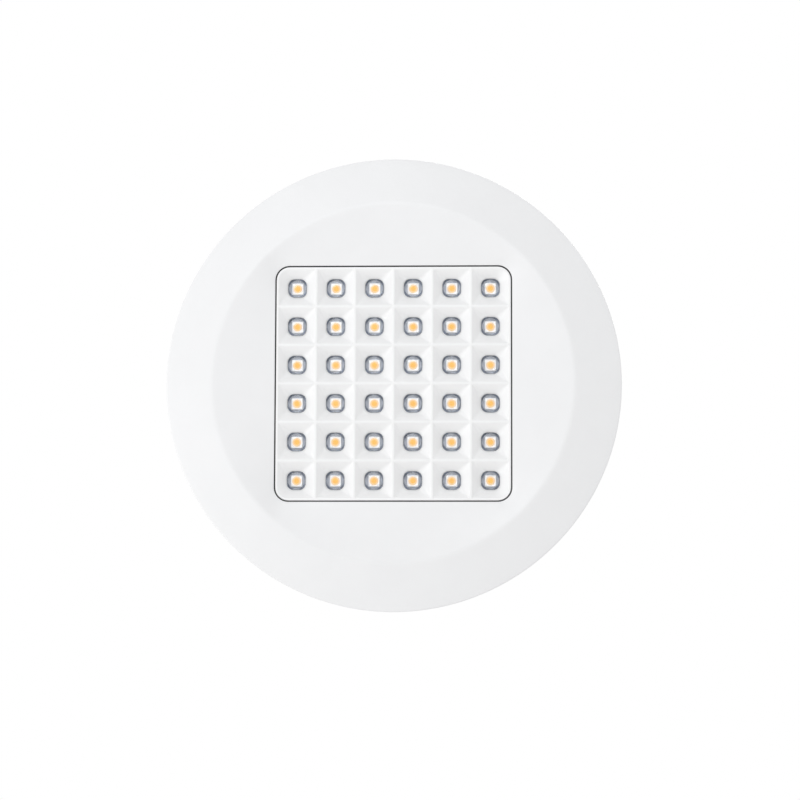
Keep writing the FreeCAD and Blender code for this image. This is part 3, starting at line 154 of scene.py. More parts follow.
# solids that keep their shape: how far their edges are rounded, and the angles in degrees of their creases
EDGE_EASE = {
    "heat_sink": 0.35, "driver_box": 0.6, "driver_lid": 0.7, "clip_bracket_right": 0.25,
    "clip_bracket_left": 0.25, "clip_arm_right": 0.3, "clip_arm_left": 0.3, "clip_foot_right": 0.5,
    "clip_foot_left": 0.5, "clip_pin_right": 0.2, "clip_pin_left": 0.2, "gland_locknut": 0.3,
    "supply_terminal": 0.3, "transformer_core": 0.3, "transformer_winding": 0.4, "film_capacitor": 0.5,
    "board_connector": 0.2, "soffit_gasket": 0.3, "lead_grommet": 0.3,
}
LEAD_CREASE, EASED_CREASE, PLAIN_CREASE = 62, 50, 35
FLAT_ANGLE, EASED_ANGLE = 0.5, 32

# metres within which points are one: in the solids, and the points and the edges of the forms made here
JOIN, JOIN_POINTS, JOIN_EDGES = 1e-6, 2e-7, 1e-7


# ---------------------------------------------------------------- camera, light and floor
def set_camera():
    """Below the light, a little towards the photograph's lower edge, looking up."""
    back = Vector((math.tan(math.radians(LEAN_RIGHT)), math.tan(math.radians(LEAN_DOWN)), -1)).normalized()
    right = Vector(PICTURE_TOP).cross(back).normalized()
    up = back.cross(right)
    camera = bpy.data.objects.new("camera", bpy.data.cameras.new("camera"))
    scene.collection.objects.link(camera)
    turn = Matrix((right, up, back)).transposed().to_4x4() @ Matrix.Rotation(CAMERA_ROLL, 4, "Z")
    camera.matrix_world = Matrix.Translation(back * CAMERA_DISTANCE) @ turn
    camera.data.sensor_width = SENSOR
    camera.data.lens = CAMERA_LENS
    camera.data.shift_x = SHIFT_RIGHT / PICTURE
    camera.data.shift_y = SHIFT_UP / PICTURE
    camera.data.clip_start, camera.data.clip_end = NEAREST, FARTHEST
    scene.camera = camera


def set_inputs(node, values):
    """Constants on a node's own inputs."""
    for name, value in values.items():
        node.inputs[name].default_value = value


def map_range(tree, source, values, interpolation="LINEAR"):
    """One stretch of the source brought to another."""
    span = tree.nodes.new("ShaderNodeMapRange")
    span.interpolation_type = interpolation
    set_inputs(span, values)
    tree.links.new(source, span.inputs["Value"])
    return span.outputs["Result"]


def seen_rays(tree):
    """1 for rays from the camera, from gloss and through glass, else 0."""
    path = tree.nodes.new("ShaderNodeLightPath")
    last = path.outputs["Is Camera Ray"]
    for name in ("Is Glossy Ray", "Is Transmission Ray"):
        most = tree.nodes.new("ShaderNodeMath")
        most.operation = "MAXIMUM"
        tree.links.new(last, most.inputs[0])
        tree.links.new(path.outputs[name], most.inputs[1])
        last = most.outputs[0]
    return last


def set_world():
    """Plain white all round, a little weaker as light than as seen."""
    world = bpy.data.worlds.new("white_studio")
    scene.world = world
    world.use_nodes = True
    tree = world.node_tree
    tree.nodes.clear()
    strength = map_range(tree, seen_rays(tree), {"To Min": SURROUND_LIGHT, "To Max": SURROUND_SEEN})
    background = tree.nodes.new("ShaderNodeBackground")
    background.inputs["Color"].default_value = (1, 1, 1, 1)
    tree.links.new(strength, background.inputs["Strength"])
    out = tree.nodes.new("ShaderNodeOutputWorld")
    tree.links.new(background.outputs[0], out.inputs["Surface"])


def add_softbox(name, spot, size, power, colour):
    """A rectangle of light that faces the origin and isn't seen itself."""
    lamp = bpy.data.lights.new(name, "AREA")
    lamp.shape = "RECTANGLE"
    lamp.size, lamp.size_y = size
    lamp.energy = power
    lamp.color = colour
    holder = bpy.data.objects.new(name, lamp)
    scene.collection.objects.link(holder)
    holder.location = spot
    holder.rotation_mode = "QUATERNION"
    holder.rotation_quaternion = (-Vector(spot)).to_track_quat("-Z", "Y")
    holder.visible_camera = False


def add_floor():
    """A white floor so wide that its edge is never seen."""
    bpy.ops.mesh.primitive_circle_add(
        vertices=FLOOR_SIDES, radius=FLOOR_R, fill_type="NGON", location=(0, 0, FLOOR_Z),
    )
    floor = bpy.context.object
    floor.name = "studio_floor"
    white = plain("floor_white", (FLOOR_WHITE,) * 3, 0.7)
    tree = white.node_tree
    lift = tree.nodes.new("ShaderNodeMath")
    lift.operation = "MULTIPLY"
    lift.inputs[1].default_value = FLOOR_LIFT
    tree.links.new(seen_rays(tree), lift.inputs[0])
    shader = shader_of(white)
    shader.inputs["Emission Color"].default_value = (1, 1, 1, 1)
    tree.links.new(lift.outputs[0], shader.inputs["Emission Strength"])
    floor.data.materials.append(white)


def set_studio():
    """White surroundings, three softboxes and the floor."""
    scene.view_settings.view_transform = "Standard"
    set_world()
    for name, values in SOFTBOXES.items():
        add_softbox(name, *values)
    add_floor()


# ---------------------------------------------------------------- materials
PATCHES, GLOSS_PATCHES, RELIEF = 60, 140, 0.6


def shader_of(made):
    """The node that shades a material."""
    return made.node_tree.nodes["Principled BSDF"]


def plain(name, colour, roughness, metallic=0.0):
    """A material with its shader ready for more nodes."""
    made = bpy.data.materials.new(name)
    made.use_nodes = True
    set_inputs(shader_of(made), {"Base Color": (*colour, 1), "Roughness": roughness, "Metallic": metallic})
    return made


def noise(made, scale, detail):
    """A noise of that many features per metre, on the piece's own coordinates."""
    nodes = made.node_tree.nodes
    place = nodes.new("ShaderNodeTexCoord")
    texture = nodes.new("ShaderNodeTexNoise")
    set_inputs(texture, {"Scale": scale, "Detail": detail})
    made.node_tree.links.new(place.outputs["Object"], texture.inputs["Vector"])
    return texture.outputs["Fac"]


def tint(made, source, low, high, start=0.3, end=0.7):
    """Colour that goes from low to high with the source."""
    ramp = made.node_tree.nodes.new("ShaderNodeValToRGB")
    for element, position, colour in zip(ramp.color_ramp.elements, (start, end), (low, high)):
        element.position = position
        element.color = (*colour, 1)
    made.node_tree.links.new(source, ramp.inputs["Fac"])
    made.node_tree.links.new(ramp.outputs["Color"], shader_of(made).inputs["Base Color"])


def vary_roughness(made, source, low, high):
    """Gloss that goes with the source."""
    rough = map_range(made.node_tree, source, {"To Min": low, "To Max": high})
    made.node_tree.links.new(rough, shader_of(made).inputs["Roughness"])


def emboss(made, source, depth):
    """Fine relief of that depth in millimetres."""
    bump = made.node_tree.nodes.new("ShaderNodeBump")
    set_inputs(bump, {"Strength": RELIEF, "Distance": depth * MM})
    made.node_tree.links.new(source, bump.inputs["Height"])
    made.node_tree.links.new(bump.outputs["Normal"], shader_of(made).inputs["Normal"])


def painted_glow(made, colour, strength):
    """Painted light: an emission that brightens a surface behind the clear moulding, in place of light that
    the moulding would let onto it.
    """
    set_inputs(shader_of(made), {"Emission Color": (*colour, 1), "Emission Strength": strength})


def textured(name, low, high, roughness, grain, depth, metallic=0.0):
    """A finish with faint patches of colour, uneven gloss and a fine grain."""
    made = plain(name, low, sum(roughness) / 2, metallic)
    tint(made, noise(made, PATCHES, 4), low, high)
    vary_roughness(made, noise(made, GLOSS_PATCHES, 3), *roughness)
    emboss(made, noise(made, grain, 3), depth)
    return made


def from_cell_middle(made):
    """Distance from the middle of the nearest cell, in millimetres."""
    nodes, links = made.node_tree.nodes, made.node_tree.links
    place = nodes.new("ShaderNodeTexCoord")
    steps = (
        ("SCALE", 1 / (PITCH * MM)), ("FRACTION", None), ("SUBTRACT", (0.5, 0.5, 0.0)),
        ("MULTIPLY", (PITCH, PITCH, 0.0)), ("LENGTH", None),
    )
    last = place.outputs["Object"]
    for operation, value in steps:
        node = nodes.new("ShaderNodeVectorMath")
        node.operation = operation
        if operation == "SCALE":
            node.inputs["Scale"].default_value = value
        elif value:
            node.inputs[1].default_value = value
        links.new(last, node.inputs[0])
        last = node.outputs["Value" if operation == "LENGTH" else "Vector"]
    return last


def across_cell(made, start, end):
    """0 up to one distance from a cell's middle, 1 beyond the other, and soft between."""
    values = {"From Min": start, "From Max": end}
    return map_range(made.node_tree, from_cell_middle(made), values, "SMOOTHSTEP")


def lens_with_painted_edge_shade():
    """Clear acrylic, bright through each dome, with painted shade round it: a slate tint where the moulding
    turns to its edge, for the dark its steep sides show.
    """
    made = plain("lens_with_painted_edge_shade", (0.98, 0.99, 1.0), 0.03)
    set_inputs(shader_of(made), {"Transmission Weight": 1.0, "IOR": 1.49})
    # painted shade: a slate ring round each dome, where the steep sides would show the dark behind them
    painted_shade_ring = across_cell(made, DOME_R - 0.1, DOME_R + 0.35)
    tint(made, painted_shade_ring, (0.985, 0.99, 1.0), (0.40, 0.45, 0.54), 0.0, 1.0)
    vary_roughness(made, noise(made, 300, 2), 0.02, 0.06)
    emboss(made, noise(made, 500, 2), 0.01)
    return made


def phosphor():
    """Amber silicone, paler towards its edge, that fluoresces a little under studio light, with painted light
    on top: an emission that makes it brighter than that faint fluorescence would.
    """
    made = plain("phosphor_amber", (0.99, 0.55, 0.12), 0.5)
    tint(made, across_cell(made, 0.7, 2.25), (0.98, 0.51, 0.045), (0.90, 0.80, 0.68), 0.0, 1.0)
    emboss(made, noise(made, 6000, 3), 0.01)
    shader_of(made).inputs["Coat Weight"].default_value = 0.2
    # painted light: emission for light that the lens keeps from the dot, beyond its real faint fluorescence
    painted_glow(made, (1.0, 0.5, 0.1), 0.26)
    return made


def led_white():
    """White package, with a painted halo of the phosphor's warm light round its cup and painted light from an
    emission of its own.
    """
    made = plain("led_white", (0.95, 0.95, 0.94), 0.35)
    # painted halo: the package turns warmer towards its cup, as if lit by the phosphor
    tint(made, across_cell(made, 1.95, 2.5), (0.97, 0.88, 0.76), (0.97, 0.97, 0.97), 0.0, 1.0)
    vary_roughness(made, noise(made, 900, 3), 0.3, 0.4)
    emboss(made, noise(made, 3000, 3), 0.005)
    # painted light: a white emission that makes the package as bright as an unshaded white
    painted_glow(made, (1, 1, 1), 0.22)
    return made


# by slot: name, two colours, roughness from and to, grain per metre, its depth in millimetres, 1 for metal
FINISHES = {
    "trim_paint": (
        "white_powder_coat", (0.835, 0.835, 0.84), (0.85, 0.85, 0.855), (0.34, 0.42), 1400, 0.02,
    ),
    "louvre_white": ("louvre_white", (0.88, 0.88, 0.88), (0.90, 0.90, 0.90), (0.28, 0.36), 2200, 0.008),
    "seal_black": ("seal_rubber", (0.012, 0.012, 0.013), (0.03, 0.03, 0.032), (0.55, 0.75), 2600, 0.03),
    "foam_grey": ("foam", (0.07, 0.07, 0.075), (0.12, 0.12, 0.125), (0.85, 0.95), 900, 0.2),
    "cast_aluminium": ("cast_aluminium", (0.52, 0.53, 0.55), (0.62, 0.63, 0.65), (0.32, 0.5), 900, 0.05, 1.0),
    # board_white: a white board given a blue-grey colour, which is painted shade for the dim room behind the
    # lenses
    "board_white": ("board_white", (0.66, 0.69, 0.76), (0.70, 0.73, 0.80), (0.3, 0.4), 1800, 0.01),
    "pad_grey": ("thermal_silicone", (0.30, 0.32, 0.37), (0.38, 0.40, 0.45), (0.6, 0.7), 1500, 0.03),
    "connector_white": ("connector_white", (0.78, 0.77, 0.72), (0.84, 0.83, 0.78), (0.35, 0.45), 2000, 0.01),
    "contact_brass": ("contact_tin", (0.62, 0.60, 0.55), (0.70, 0.68, 0.62), (0.25, 0.35), 2000, 0.01, 1.0),
    "zinc_steel": ("zinc_plate", (0.55, 0.57, 0.60), (0.66, 0.67, 0.68), (0.22, 0.38), 1200, 0.01, 1.0),
    "spring_steel": ("spring_wire", (0.50, 0.50, 0.51), (0.60, 0.60, 0.61), (0.2, 0.32), 1800, 0.01, 1.0),
    "box_grey": ("box_plastic", (0.035, 0.036, 0.038), (0.05, 0.05, 0.053), (0.5, 0.62), 2600, 0.06),
    "board_green": ("board_green", (0.02, 0.16, 0.07), (0.03, 0.2, 0.09), (0.3, 0.4), 1500, 0.01),
    "ferrite": ("ferrite", (0.03, 0.03, 0.032), (0.06, 0.06, 0.062), (0.6, 0.75), 1800, 0.04),
    "tape_yellow": ("winding_tape", (0.75, 0.55, 0.06), (0.82, 0.62, 0.09), (0.35, 0.45), 900, 0.02),
    "sleeve_black": ("shrink_sleeve", (0.02, 0.02, 0.028), (0.04, 0.04, 0.05), (0.25, 0.35), 1500, 0.01),
    "film_red": ("film_red", (0.42, 0.05, 0.03), (0.5, 0.07, 0.04), (0.3, 0.4), 1500, 0.01),
    "terminal_green": ("terminal_green", (0.04, 0.28, 0.12), (0.06, 0.33, 0.15), (0.35, 0.45), 1500, 0.01),
    "lead_red": ("lead_red", (0.45, 0.02, 0.015), (0.55, 0.03, 0.02), (0.4, 0.5), 1500, 0.01),
    "lead_black": ("lead_black", (0.015, 0.015, 0.015), (0.03, 0.03, 0.03), (0.4, 0.5), 1500, 0.01),
    "gland_black": ("gland_nylon", (0.02, 0.02, 0.021), (0.035, 0.035, 0.037), (0.42, 0.55), 2400, 0.03),
}
MATERIALS = {slot: textured(*values) for slot, values in FINISHES.items()}
MATERIALS.update({"lens_clear": lens_with_painted_edge_shade(), "led_white": led_white(), "phosphor": phosphor()})


# ---------------------------------------------------------------- mesh helpers
class Form:
    """Points and faces of one piece, in millimetres."""

    def __init__(self):
        self.points, self.faces = [], []

    def grid(self, loops, closed=False):
        """Joins closed loops of equally many points, one after the other."""
        count, start = len(loops[0]), len(self.points)
        for loop in loops:
            self.points.extend(Vector(point) for point in loop)
        rows = len(loops) if closed else len(loops) - 1
        for row in range(rows):
            near, far = start + row * count, start + (row + 1) % len(loops) * count
            for step in range(count):
                after = (step + 1) % count
                self.faces.append((near + step, near + after, far + after, far + step))

    def cap(self, loop, centre=None):
        """Closes a loop with a fan, or with one face where no centre is given."""
        start = len(self.points)
        self.points.extend(Vector(point) for point in loop)
        if centre is None:
            self.faces.append(tuple(range(start, start + len(loop))))
            return
        self.points.append(Vector(centre))
        for step in range(len(loop)):
            self.faces.append((start + step, start + (step + 1) % len(loop), start + len(loop)))

    def add(self, other, place):
        """Takes in another form, moved to its place."""
        start = len(self.points)
        self.points.extend(place @ point for point in other.points)
        self.faces.extend(tuple(start + number for number in face) for face in other.faces)

    def placed(self, place):
        """A moved copy."""
        made = Form()
        made.add(self, place)
        return made

    def mesh(self, name):
        """A mesh in metres, with its doubled points joined and its faces turned outwards."""
        made = bpy.data.meshes.new(name)
        made.from_pydata([point * MM for point in self.points], [], self.faces)
        shape = bmesh.new()
        shape.from_mesh(made)
        bmesh.ops.remove_doubles(shape, verts=shape.verts, dist=JOIN_POINTS)
        bmesh.ops.dissolve_degenerate(shape, edges=shape.edges, dist=JOIN_EDGES)
        bmesh.ops.recalc_face_normals(shape, faces=shape.faces)
        shape.to_mesh(made)
        shape.free()
        return made


def sharpen(made, degrees):
    """Smooth shading with creases where faces meet at more than the angle."""
    made.shade_smooth()
    made.set_sharp_from_angle(angle=math.radians(degrees))


def piece(name, form, slot, body="base", replaces=(), crease=35, mesh=None, bends=None):
    """Makes a finished piece of the light out of a form or a mesh."""
    made = mesh or form.mesh(name)
    made.materials.clear()
    made.materials.append(MATERIALS[slot])
    sharpen(made, crease)
    item = bpy.data.objects.new(name, made)
    scene.collection.objects.link(item)
    if bends:
        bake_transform(item)
    else:
        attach(item, body)
    if replaces:
        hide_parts(*replaces)
    return item


def around_z(angle):
    """A turn about the light's own axis."""
    return Matrix.Rotation(angle, 4, "Z")


def round_loop(radius, height):
    """A circle whose points lie in line with those of the rounded squares."""
    loop = []
    for quarter in range(4):
        start = quarter * math.pi / 2
        turns = [start - SIDE_TURN + 2 * SIDE_TURN * step / SIDE_STEPS for step in range(SIDE_STEPS)]
        corner_turn = math.pi / 2 - 2 * SIDE_TURN
        turns += [start + SIDE_TURN + corner_turn * step / CORNER_STEPS for step in range(CORNER_STEPS)]
        loop += [(radius * math.cos(turn), radius * math.sin(turn), height) for turn in turns]
    return loop


def square_loop(half, corner, height):
    """A square with rounded corners, in line with the circles."""
    loop, near = [], half - corner
    for quarter in range(4):
        turn = Matrix.Rotation(quarter * math.pi / 2, 3, "Z")
        for step in range(SIDE_STEPS):
            loop.append(turn @ Vector((half, near * (2 * step / SIDE_STEPS - 1), height)))
        for step in range(CORNER_STEPS):
            angle = math.pi / 2 * step / CORNER_STEPS
            x, y = near + corner * math.cos(angle), near + corner * math.sin(angle)
            loop.append(turn @ Vector((x, y, height)))
    return loop


def ring_loop(radius, height, count, start=0.0):
    """A circle of evenly set points."""
    turns = [start + 2 * math.pi * step / count for step in range(count)]
    return [(radius * math.cos(turn), radius * math.sin(turn), height) for turn in turns]


def between(loop, other, share):
    """The loop that lies that share of the way from one to the other."""
    return [Vector(near).lerp(Vector(far), share) for near, far in zip(loop, other)]


def turn_loops(start, corner, end, steps):
    """Loops of a soft turn from start to end, pulled towards the corner."""
    made = []
    for step in range(steps + 1):
        share = step / steps
        made.append(between(between(start, corner, share), between(corner, end, share), share))
    return made


def turned_solid(profile, sides):
    """A solid turned round the Z axis, whose profile starts and ends near the axis."""
    form = Form()
    loops = [ring_loop(r, z, sides) for r, z in profile]
    form.grid(loops)
    form.cap(loops[0], (0, 0, profile[0][1]))
    form.cap(loops[-1], (0, 0, profile[-1][1]))
    return form


def rounded_bar(x0, x1, half_y, z0, z1, ease):
    """A bar along X whose upper long edges are rounded."""
    section = [(-half_y, z0), (half_y, z0)]
    for middle, start in ((half_y - ease, 0), (ease - half_y, 1)):
        for turn in range(4):
            angle = math.pi / 2 * (start + turn / 3)
            section.append((middle + ease * math.cos(angle), z1 - ease + ease * math.sin(angle)))
    form, loops = Form(), [[(x, y, z) for y, z in section] for x in (x0, x1)]
    form.grid(loops)
    form.cap(loops[0])
    form.cap(loops[1])
    return form


# ---------------------------------------------------------------- trim
def front_loops():
    """From the window's rounded lip over the dish, the soft crest and the bevel to the rounded rim."""
    edge = square_loop(WINDOW, WINDOW_CORNER, WINDOW_Z)
    crest = [Vector(point) for point in round_loop(CREST_R, CREST_Z)]
    rim = [Vector(point) for point in round_loop(RIM_R, RIM_Z)]
    lip = []
    for out, rise in ((0.0, 1.0), (0.0, 0.4), (0.12, 0.1), (0.4, 0.0)):
        lip.append(square_loop(WINDOW + out * LIP, WINDOW_CORNER + out * LIP, WINDOW_Z + rise * LIP))
    start, inner, outer = [], [], []
    for before, point, after in zip(edge, crest, rim):
        start.append(before.lerp(point, DISH_START * LIP / (point - before).length))
        inner.append(point + (before - point).normalized() * CREST_BEND)
        outer.append(point + (after - point).normalized() * CREST_BEND)
    dish = [between(start, inner, step / DISH_STEPS) for step in range(DISH_STEPS)]
    soft = turn_loops(inner, crest, outer, CREST_STEPS)
    end = between(rim, outer, RIM_BEND / (RIM_R - CREST_R - CREST_BEND))
    bevel = [between(outer, end, step / BEVEL_STEPS) for step in range(1, BEVEL_STEPS + 1)]
    edge_turn = turn_loops(end, rim, round_loop(RIM_R, RIM_Z + RIM_BEND), RIM_STEPS)
    return lip + dish + soft + bevel + edge_turn[1:]


def back_loops():
    """From the rim over the flange, the spigot's collar and the channel to the frame round the window."""
    over, down = COLLAR_EASE_MIDDLE
    loops = [round_loop(radius, height) for radius, height in (
        (RIM_R, FLANGE_Z - RIM_EASE),
        (RIM_R - RIM_EASE, FLANGE_Z),
        (COLLAR_R + FLANGE_EASE, FLANGE_Z),
        (COLLAR_R, FLANGE_Z + FLANGE_EASE),
        (COLLAR_R, COLLAR_TOP - COLLAR_EASE),
        (COLLAR_R - over, COLLAR_TOP - down),
        (COLLAR_R - COLLAR_EASE, COLLAR_TOP),
        (COLLAR_IN + COLLAR_IN_EASE, COLLAR_TOP),
        (COLLAR_IN, COLLAR_TOP - COLLAR_IN_EASE),
        (COLLAR_IN, CHANNEL_Z + CHANNEL_EASE),
        (COLLAR_IN - COLLAR_FOOT_MIDDLE, CHANNEL_Z + COLLAR_FOOT_MIDDLE),
        (COLLAR_IN - CHANNEL_EASE, CHANNEL_Z),
    )]
    loops += [square_loop(FRAME_OUT + out, FRAME_OUT_CORNER + out, height) for out, height in (
        (CHANNEL_EASE, CHANNEL_Z),
        (FRAME_FOOT_MIDDLE, CHANNEL_Z + FRAME_FOOT_MIDDLE),
        (0.0, CHANNEL_Z + CHANNEL_EASE),
        (0.0, FRAME_TOP - FRAME_EASE),
        (-FRAME_EASE, FRAME_TOP),
    )]
    loops += [square_loop(FRAME_IN + out, FRAME_IN_CORNER + out, height) for out, height in (
        (FRAME_EASE, FRAME_TOP),
        (0.0, FRAME_TOP - FRAME_EASE),
        (0.0, LEDGE_Z),
    )]
    return loops


def add_ribs(form):
    """Ribs across the channel, from the frame and, between them, from nearer the collar."""
    for number in range(RIBS):
        start = RIB_STARTS[number % 2]
        rib = rounded_bar(start, RIB_END, RIB_HALF, CHANNEL_Z - RIB_ROOT, FLANGE_Z, RIB_EASE)
        form.add(rib, around_z(2 * math.pi * number / RIBS))


def add_bosses(form):
    """Hollow bosses for the screws that hold the heat sink."""
    foot, boss = CHANNEL_Z - BOSS_ROOT, Form()
    boss.grid([ring_loop(radius, height, BOSS_SIDES) for radius, height in (
        (BOSS_BORE, SINK_Z),
        (BOSS_R - BOSS_EASE, SINK_Z),
        (BOSS_R, SINK_Z - BOSS_EASE),
        (BOSS_R, BOSS_FOOT_Z),
        (BOSS_FOOT, foot),
        (BOSS_BORE, foot),
    )], closed=True)
    for number in range(BOSSES):
        turn = around_z(math.radians(BOSS_ANGLE + 360 / BOSSES * number))
        form.add(boss, turn @ Matrix.Translation((BOSS_AT, 0, 0)))


def make_trim():
    """The casting: dish, crest, bevel, flange, spigot, channel and the frame round the window."""
    form = Form()
    form.grid([square_loop(WINDOW, WINDOW_CORNER, LEDGE_Z)] + front_loops() + back_loops(), closed=True)
    add_ribs(form)
    add_bosses(form)
    piece("trim_casting", form, "trim_paint", replaces=("trim",), crease=40)


# ---------------------------------------------------------------- louvre and lenses
def half_arc(corner, radius, start, second_half):
    """Half of a corner's arc, as points."""
    x, y, sign_x, sign_y = corner
    centre = Vector((x - sign_x * radius, y - sign_y * radius))
    begin = start + (math.pi / 4 if second_half else 0)
    turns = [begin + math.pi / 4 * step / ARC_STEPS for step in range(ARC_STEPS + 1)]
    return [centre + radius * Vector((math.cos(turn), math.sin(turn))) for turn in turns]


def evenly(spots, count):
    """As many points at even distances along a line of points, without its last."""
    lengths = [0.0]
    for here, there in zip(spots, spots[1:]):
        lengths.append(lengths[-1] + (there - here).length)
    made, number = [], 0
    for step in range(count):
        target = lengths[-1] * step / count
        while lengths[number + 1] < target:
            number += 1
        span = max(lengths[number + 1] - lengths[number], 1e-9)
        made.append(spots[number].lerp(spots[number + 1], (target - lengths[number]) / span))
    return made


def cell_loop(box, radii, height, even=False):
    """A rectangle with its own radius at each corner. Each side runs from corner to corner."""
    x0, x1, y0, y1 = box
    corners = [(x1, y0, 1, -1), (x1, y1, 1, 1), (x0, y1, -1, 1), (x0, y0, -1, -1)]
    loop = []
    for number in range(4):
        after = (number + 1) % 4
        first = half_arc(corners[number], radii[number], -math.pi / 2 + number * math.pi / 2, True)
        last = half_arc(corners[after], radii[after], number * math.pi / 2, False)
        if even:
            loop.extend(evenly(first + last, CELL_SIDE_STEPS))
        else:
            straight = [first[-1].lerp(last[0], step / EDGE_STEPS) for step in range(1, EDGE_STEPS)]
            loop.extend(first + straight + last[:-1])
    return [(spot.x, spot.y, height) for spot in loop]


def cell_places():
    """Middle, column and row of each cell."""
    places = [(number - (CELLS - 1) / 2) * PITCH for number in range(CELLS)]
    return [(x, y, column, row) for row, y in enumerate(places) for column, x in enumerate(places)]


def around_point(x, y, half):
    """The sides of a square round a point."""
    return (x - half, x + half, y - half, y + half)


def corner_radii(column, row, radius, inner_radius=0.0):
    """The radius at each of a cell's corners: only those on the window's corners are large."""
    last = CELLS - 1
    at = [(last, 0), (last, last), (0, last), (0, 0)]
    return [radius if (column, row) == spot else inner_radius for spot in at]


def border_loop(cell, outer, corner, height):
    """Round the room that a cell fills, stretched to a rounded square's edge on the border."""
    x, y, column, row = cell
    last = CELLS - 1
    room = (
        -outer if column == 0 else x - PITCH / 2,
        outer if column == last else x + PITCH / 2,
        -outer if row == 0 else y - PITCH / 2,
        outer if row == last else y + PITCH / 2,
    )
    return cell_loop(room, corner_radii(column, row, corner), height, even=True)


def spot_loop(cell, half, corner, height):
    """A rounded square round the middle of a cell."""
    return cell_loop(around_point(cell[0], cell[1], half), [corner] * 4, height)


def border_strips(form, loops, column, row):
    """Closes the outer edge of a border cell between loops of the same cell."""
    last, count = CELLS - 1, CELL_SIDE_STEPS
    for side, on_border in enumerate((column == last, row == last, column == 0, row == 0)):
        if not on_border:
            continue
        start = len(form.points)
        for loop in loops:
            form.points.extend(Vector(loop[(side * count + step) % (4 * count)]) for step in range(count + 1))
        for level in range(len(loops) - 1):
            for step in range(count):
                near = start + level * (count + 1) + step
                far = near + count + 1
                form.faces.append((near, near + 1, far + 1, far))


def make_louvre():
    """The moulding: square mouths whose walls close in on rounded lens holes, on one flange."""
    form = Form()
    mouth = PITCH / 2 - RIDGE_HALF
    big = CELLS * PITCH / 2 - RIDGE_HALF - LOUVRE + LOUVRE_CORNER
    middle, flange_z = LOUVRE_EASE_MIDDLE, PLATE_Z - FLANGE_DEPTH
    side = (
        (LOUVRE - LOUVRE_EASE, LOUVRE_CORNER - LOUVRE_EASE, RIDGE_Z),
        (LOUVRE - middle, LOUVRE_CORNER - middle, RIDGE_Z + middle),
        (LOUVRE, LOUVRE_CORNER, RIDGE_Z + LOUVRE_EASE),
        (LOUVRE, LOUVRE_CORNER, flange_z),
        (STACK, STACK_CORNER, flange_z),
        (STACK, STACK_CORNER, PLATE_Z),
    )
    for cell in cell_places():
        x, y, column, row = cell
        outer = [border_loop(cell, *values) for values in side]
        loops = [outer[0]]
        for inset, drop in MOUTH_EDGE:
            radii = corner_radii(column, row, big - inset, RIDGE_CORNER - inset)
            loops.append(cell_loop(around_point(x, y, mouth - inset), radii, RIDGE_Z + drop))
        for share in WALL_SHARES:
            radii = corner_radii(
                column, row, big + (LENS_HOLE_CORNER - big) * share,
                RIDGE_CORNER + (LENS_HOLE_CORNER - RIDGE_CORNER) * share,
            )
            half, height = mouth + (LENS_HOLE - mouth) * share, RIDGE_Z + (CELL_Z - RIDGE_Z) * share
            loops.append(cell_loop(around_point(x, y, half), radii, height))
        for height in (CELL_Z + HOLE_LAND, PLATE_Z):
            loops.append(spot_loop(cell, LENS_HOLE, LENS_HOLE_CORNER, height))
        loops.append(outer[-1])
        form.grid(loops)
        border_strips(form, outer, column, row)
    piece("louvre_moulding", form, "louvre_white", replaces=("louvre",), crease=40)


def make_lenses():
    """One clear moulding: 36 crowned lenses on a plate with a shallow room behind them."""
    form = Form()
    room_z = PLATE_BACK - ROOM_DEPTH
    for cell in cell_places():
        x, y, column, row = cell
        edge = border_loop(cell, STACK, STACK_CORNER, PLATE_Z)
        loops = [edge] + [spot_loop(cell, *values) for values in LENS_SIDE]
        for step in range(DOME_STEPS):
            radius = DOME_R * (1 - step / DOME_STEPS)
            loops.append(spot_loop(cell, radius, radius, DOME_Z + radius ** 2 / (2 * DOME_BEND)))
        form.grid(loops)
        form.cap(loops[-1], (x, y, DOME_Z))
        back_edge = border_loop(cell, STACK, STACK_CORNER, PLATE_BACK)
        border_strips(form, [edge, back_edge], column, row)
        inner, rim = (border_loop(cell, ROOM_HALF, 0.0, height) for height in (room_z, PLATE_BACK))
        form.cap(inner, (x, y, room_z))
        border_strips(form, [back_edge, rim, inner], column, row)
    moulding = piece("lens_moulding", form, "lens_clear", replaces=("lens_plate",), crease=50)
    # thin clear acrylic throws no shadow on the board behind it
    moulding.visible_shadow = False


# ---------------------------------------------------------------- repeats made with geometry nodes
def node_tree(name):
    """A geometry tree with its way in and its way out."""
    tree = bpy.data.node_groups.new(name, "GeometryNodeTree")
    tree.interface.new_socket("Geometry", in_out="INPUT", socket_type="NodeSocketGeometry")
    tree.interface.new_socket("Geometry", in_out="OUTPUT", socket_type="NodeSocketGeometry")
    return tree


def socket(tree, name, kind, value=None):
    """Adds an input and gives the key by which a modifier sets it."""
    made = tree.interface.new_socket(name, in_out="INPUT", socket_type=kind)
    if value is not None:
        made.default_value = value
    return made.identifier


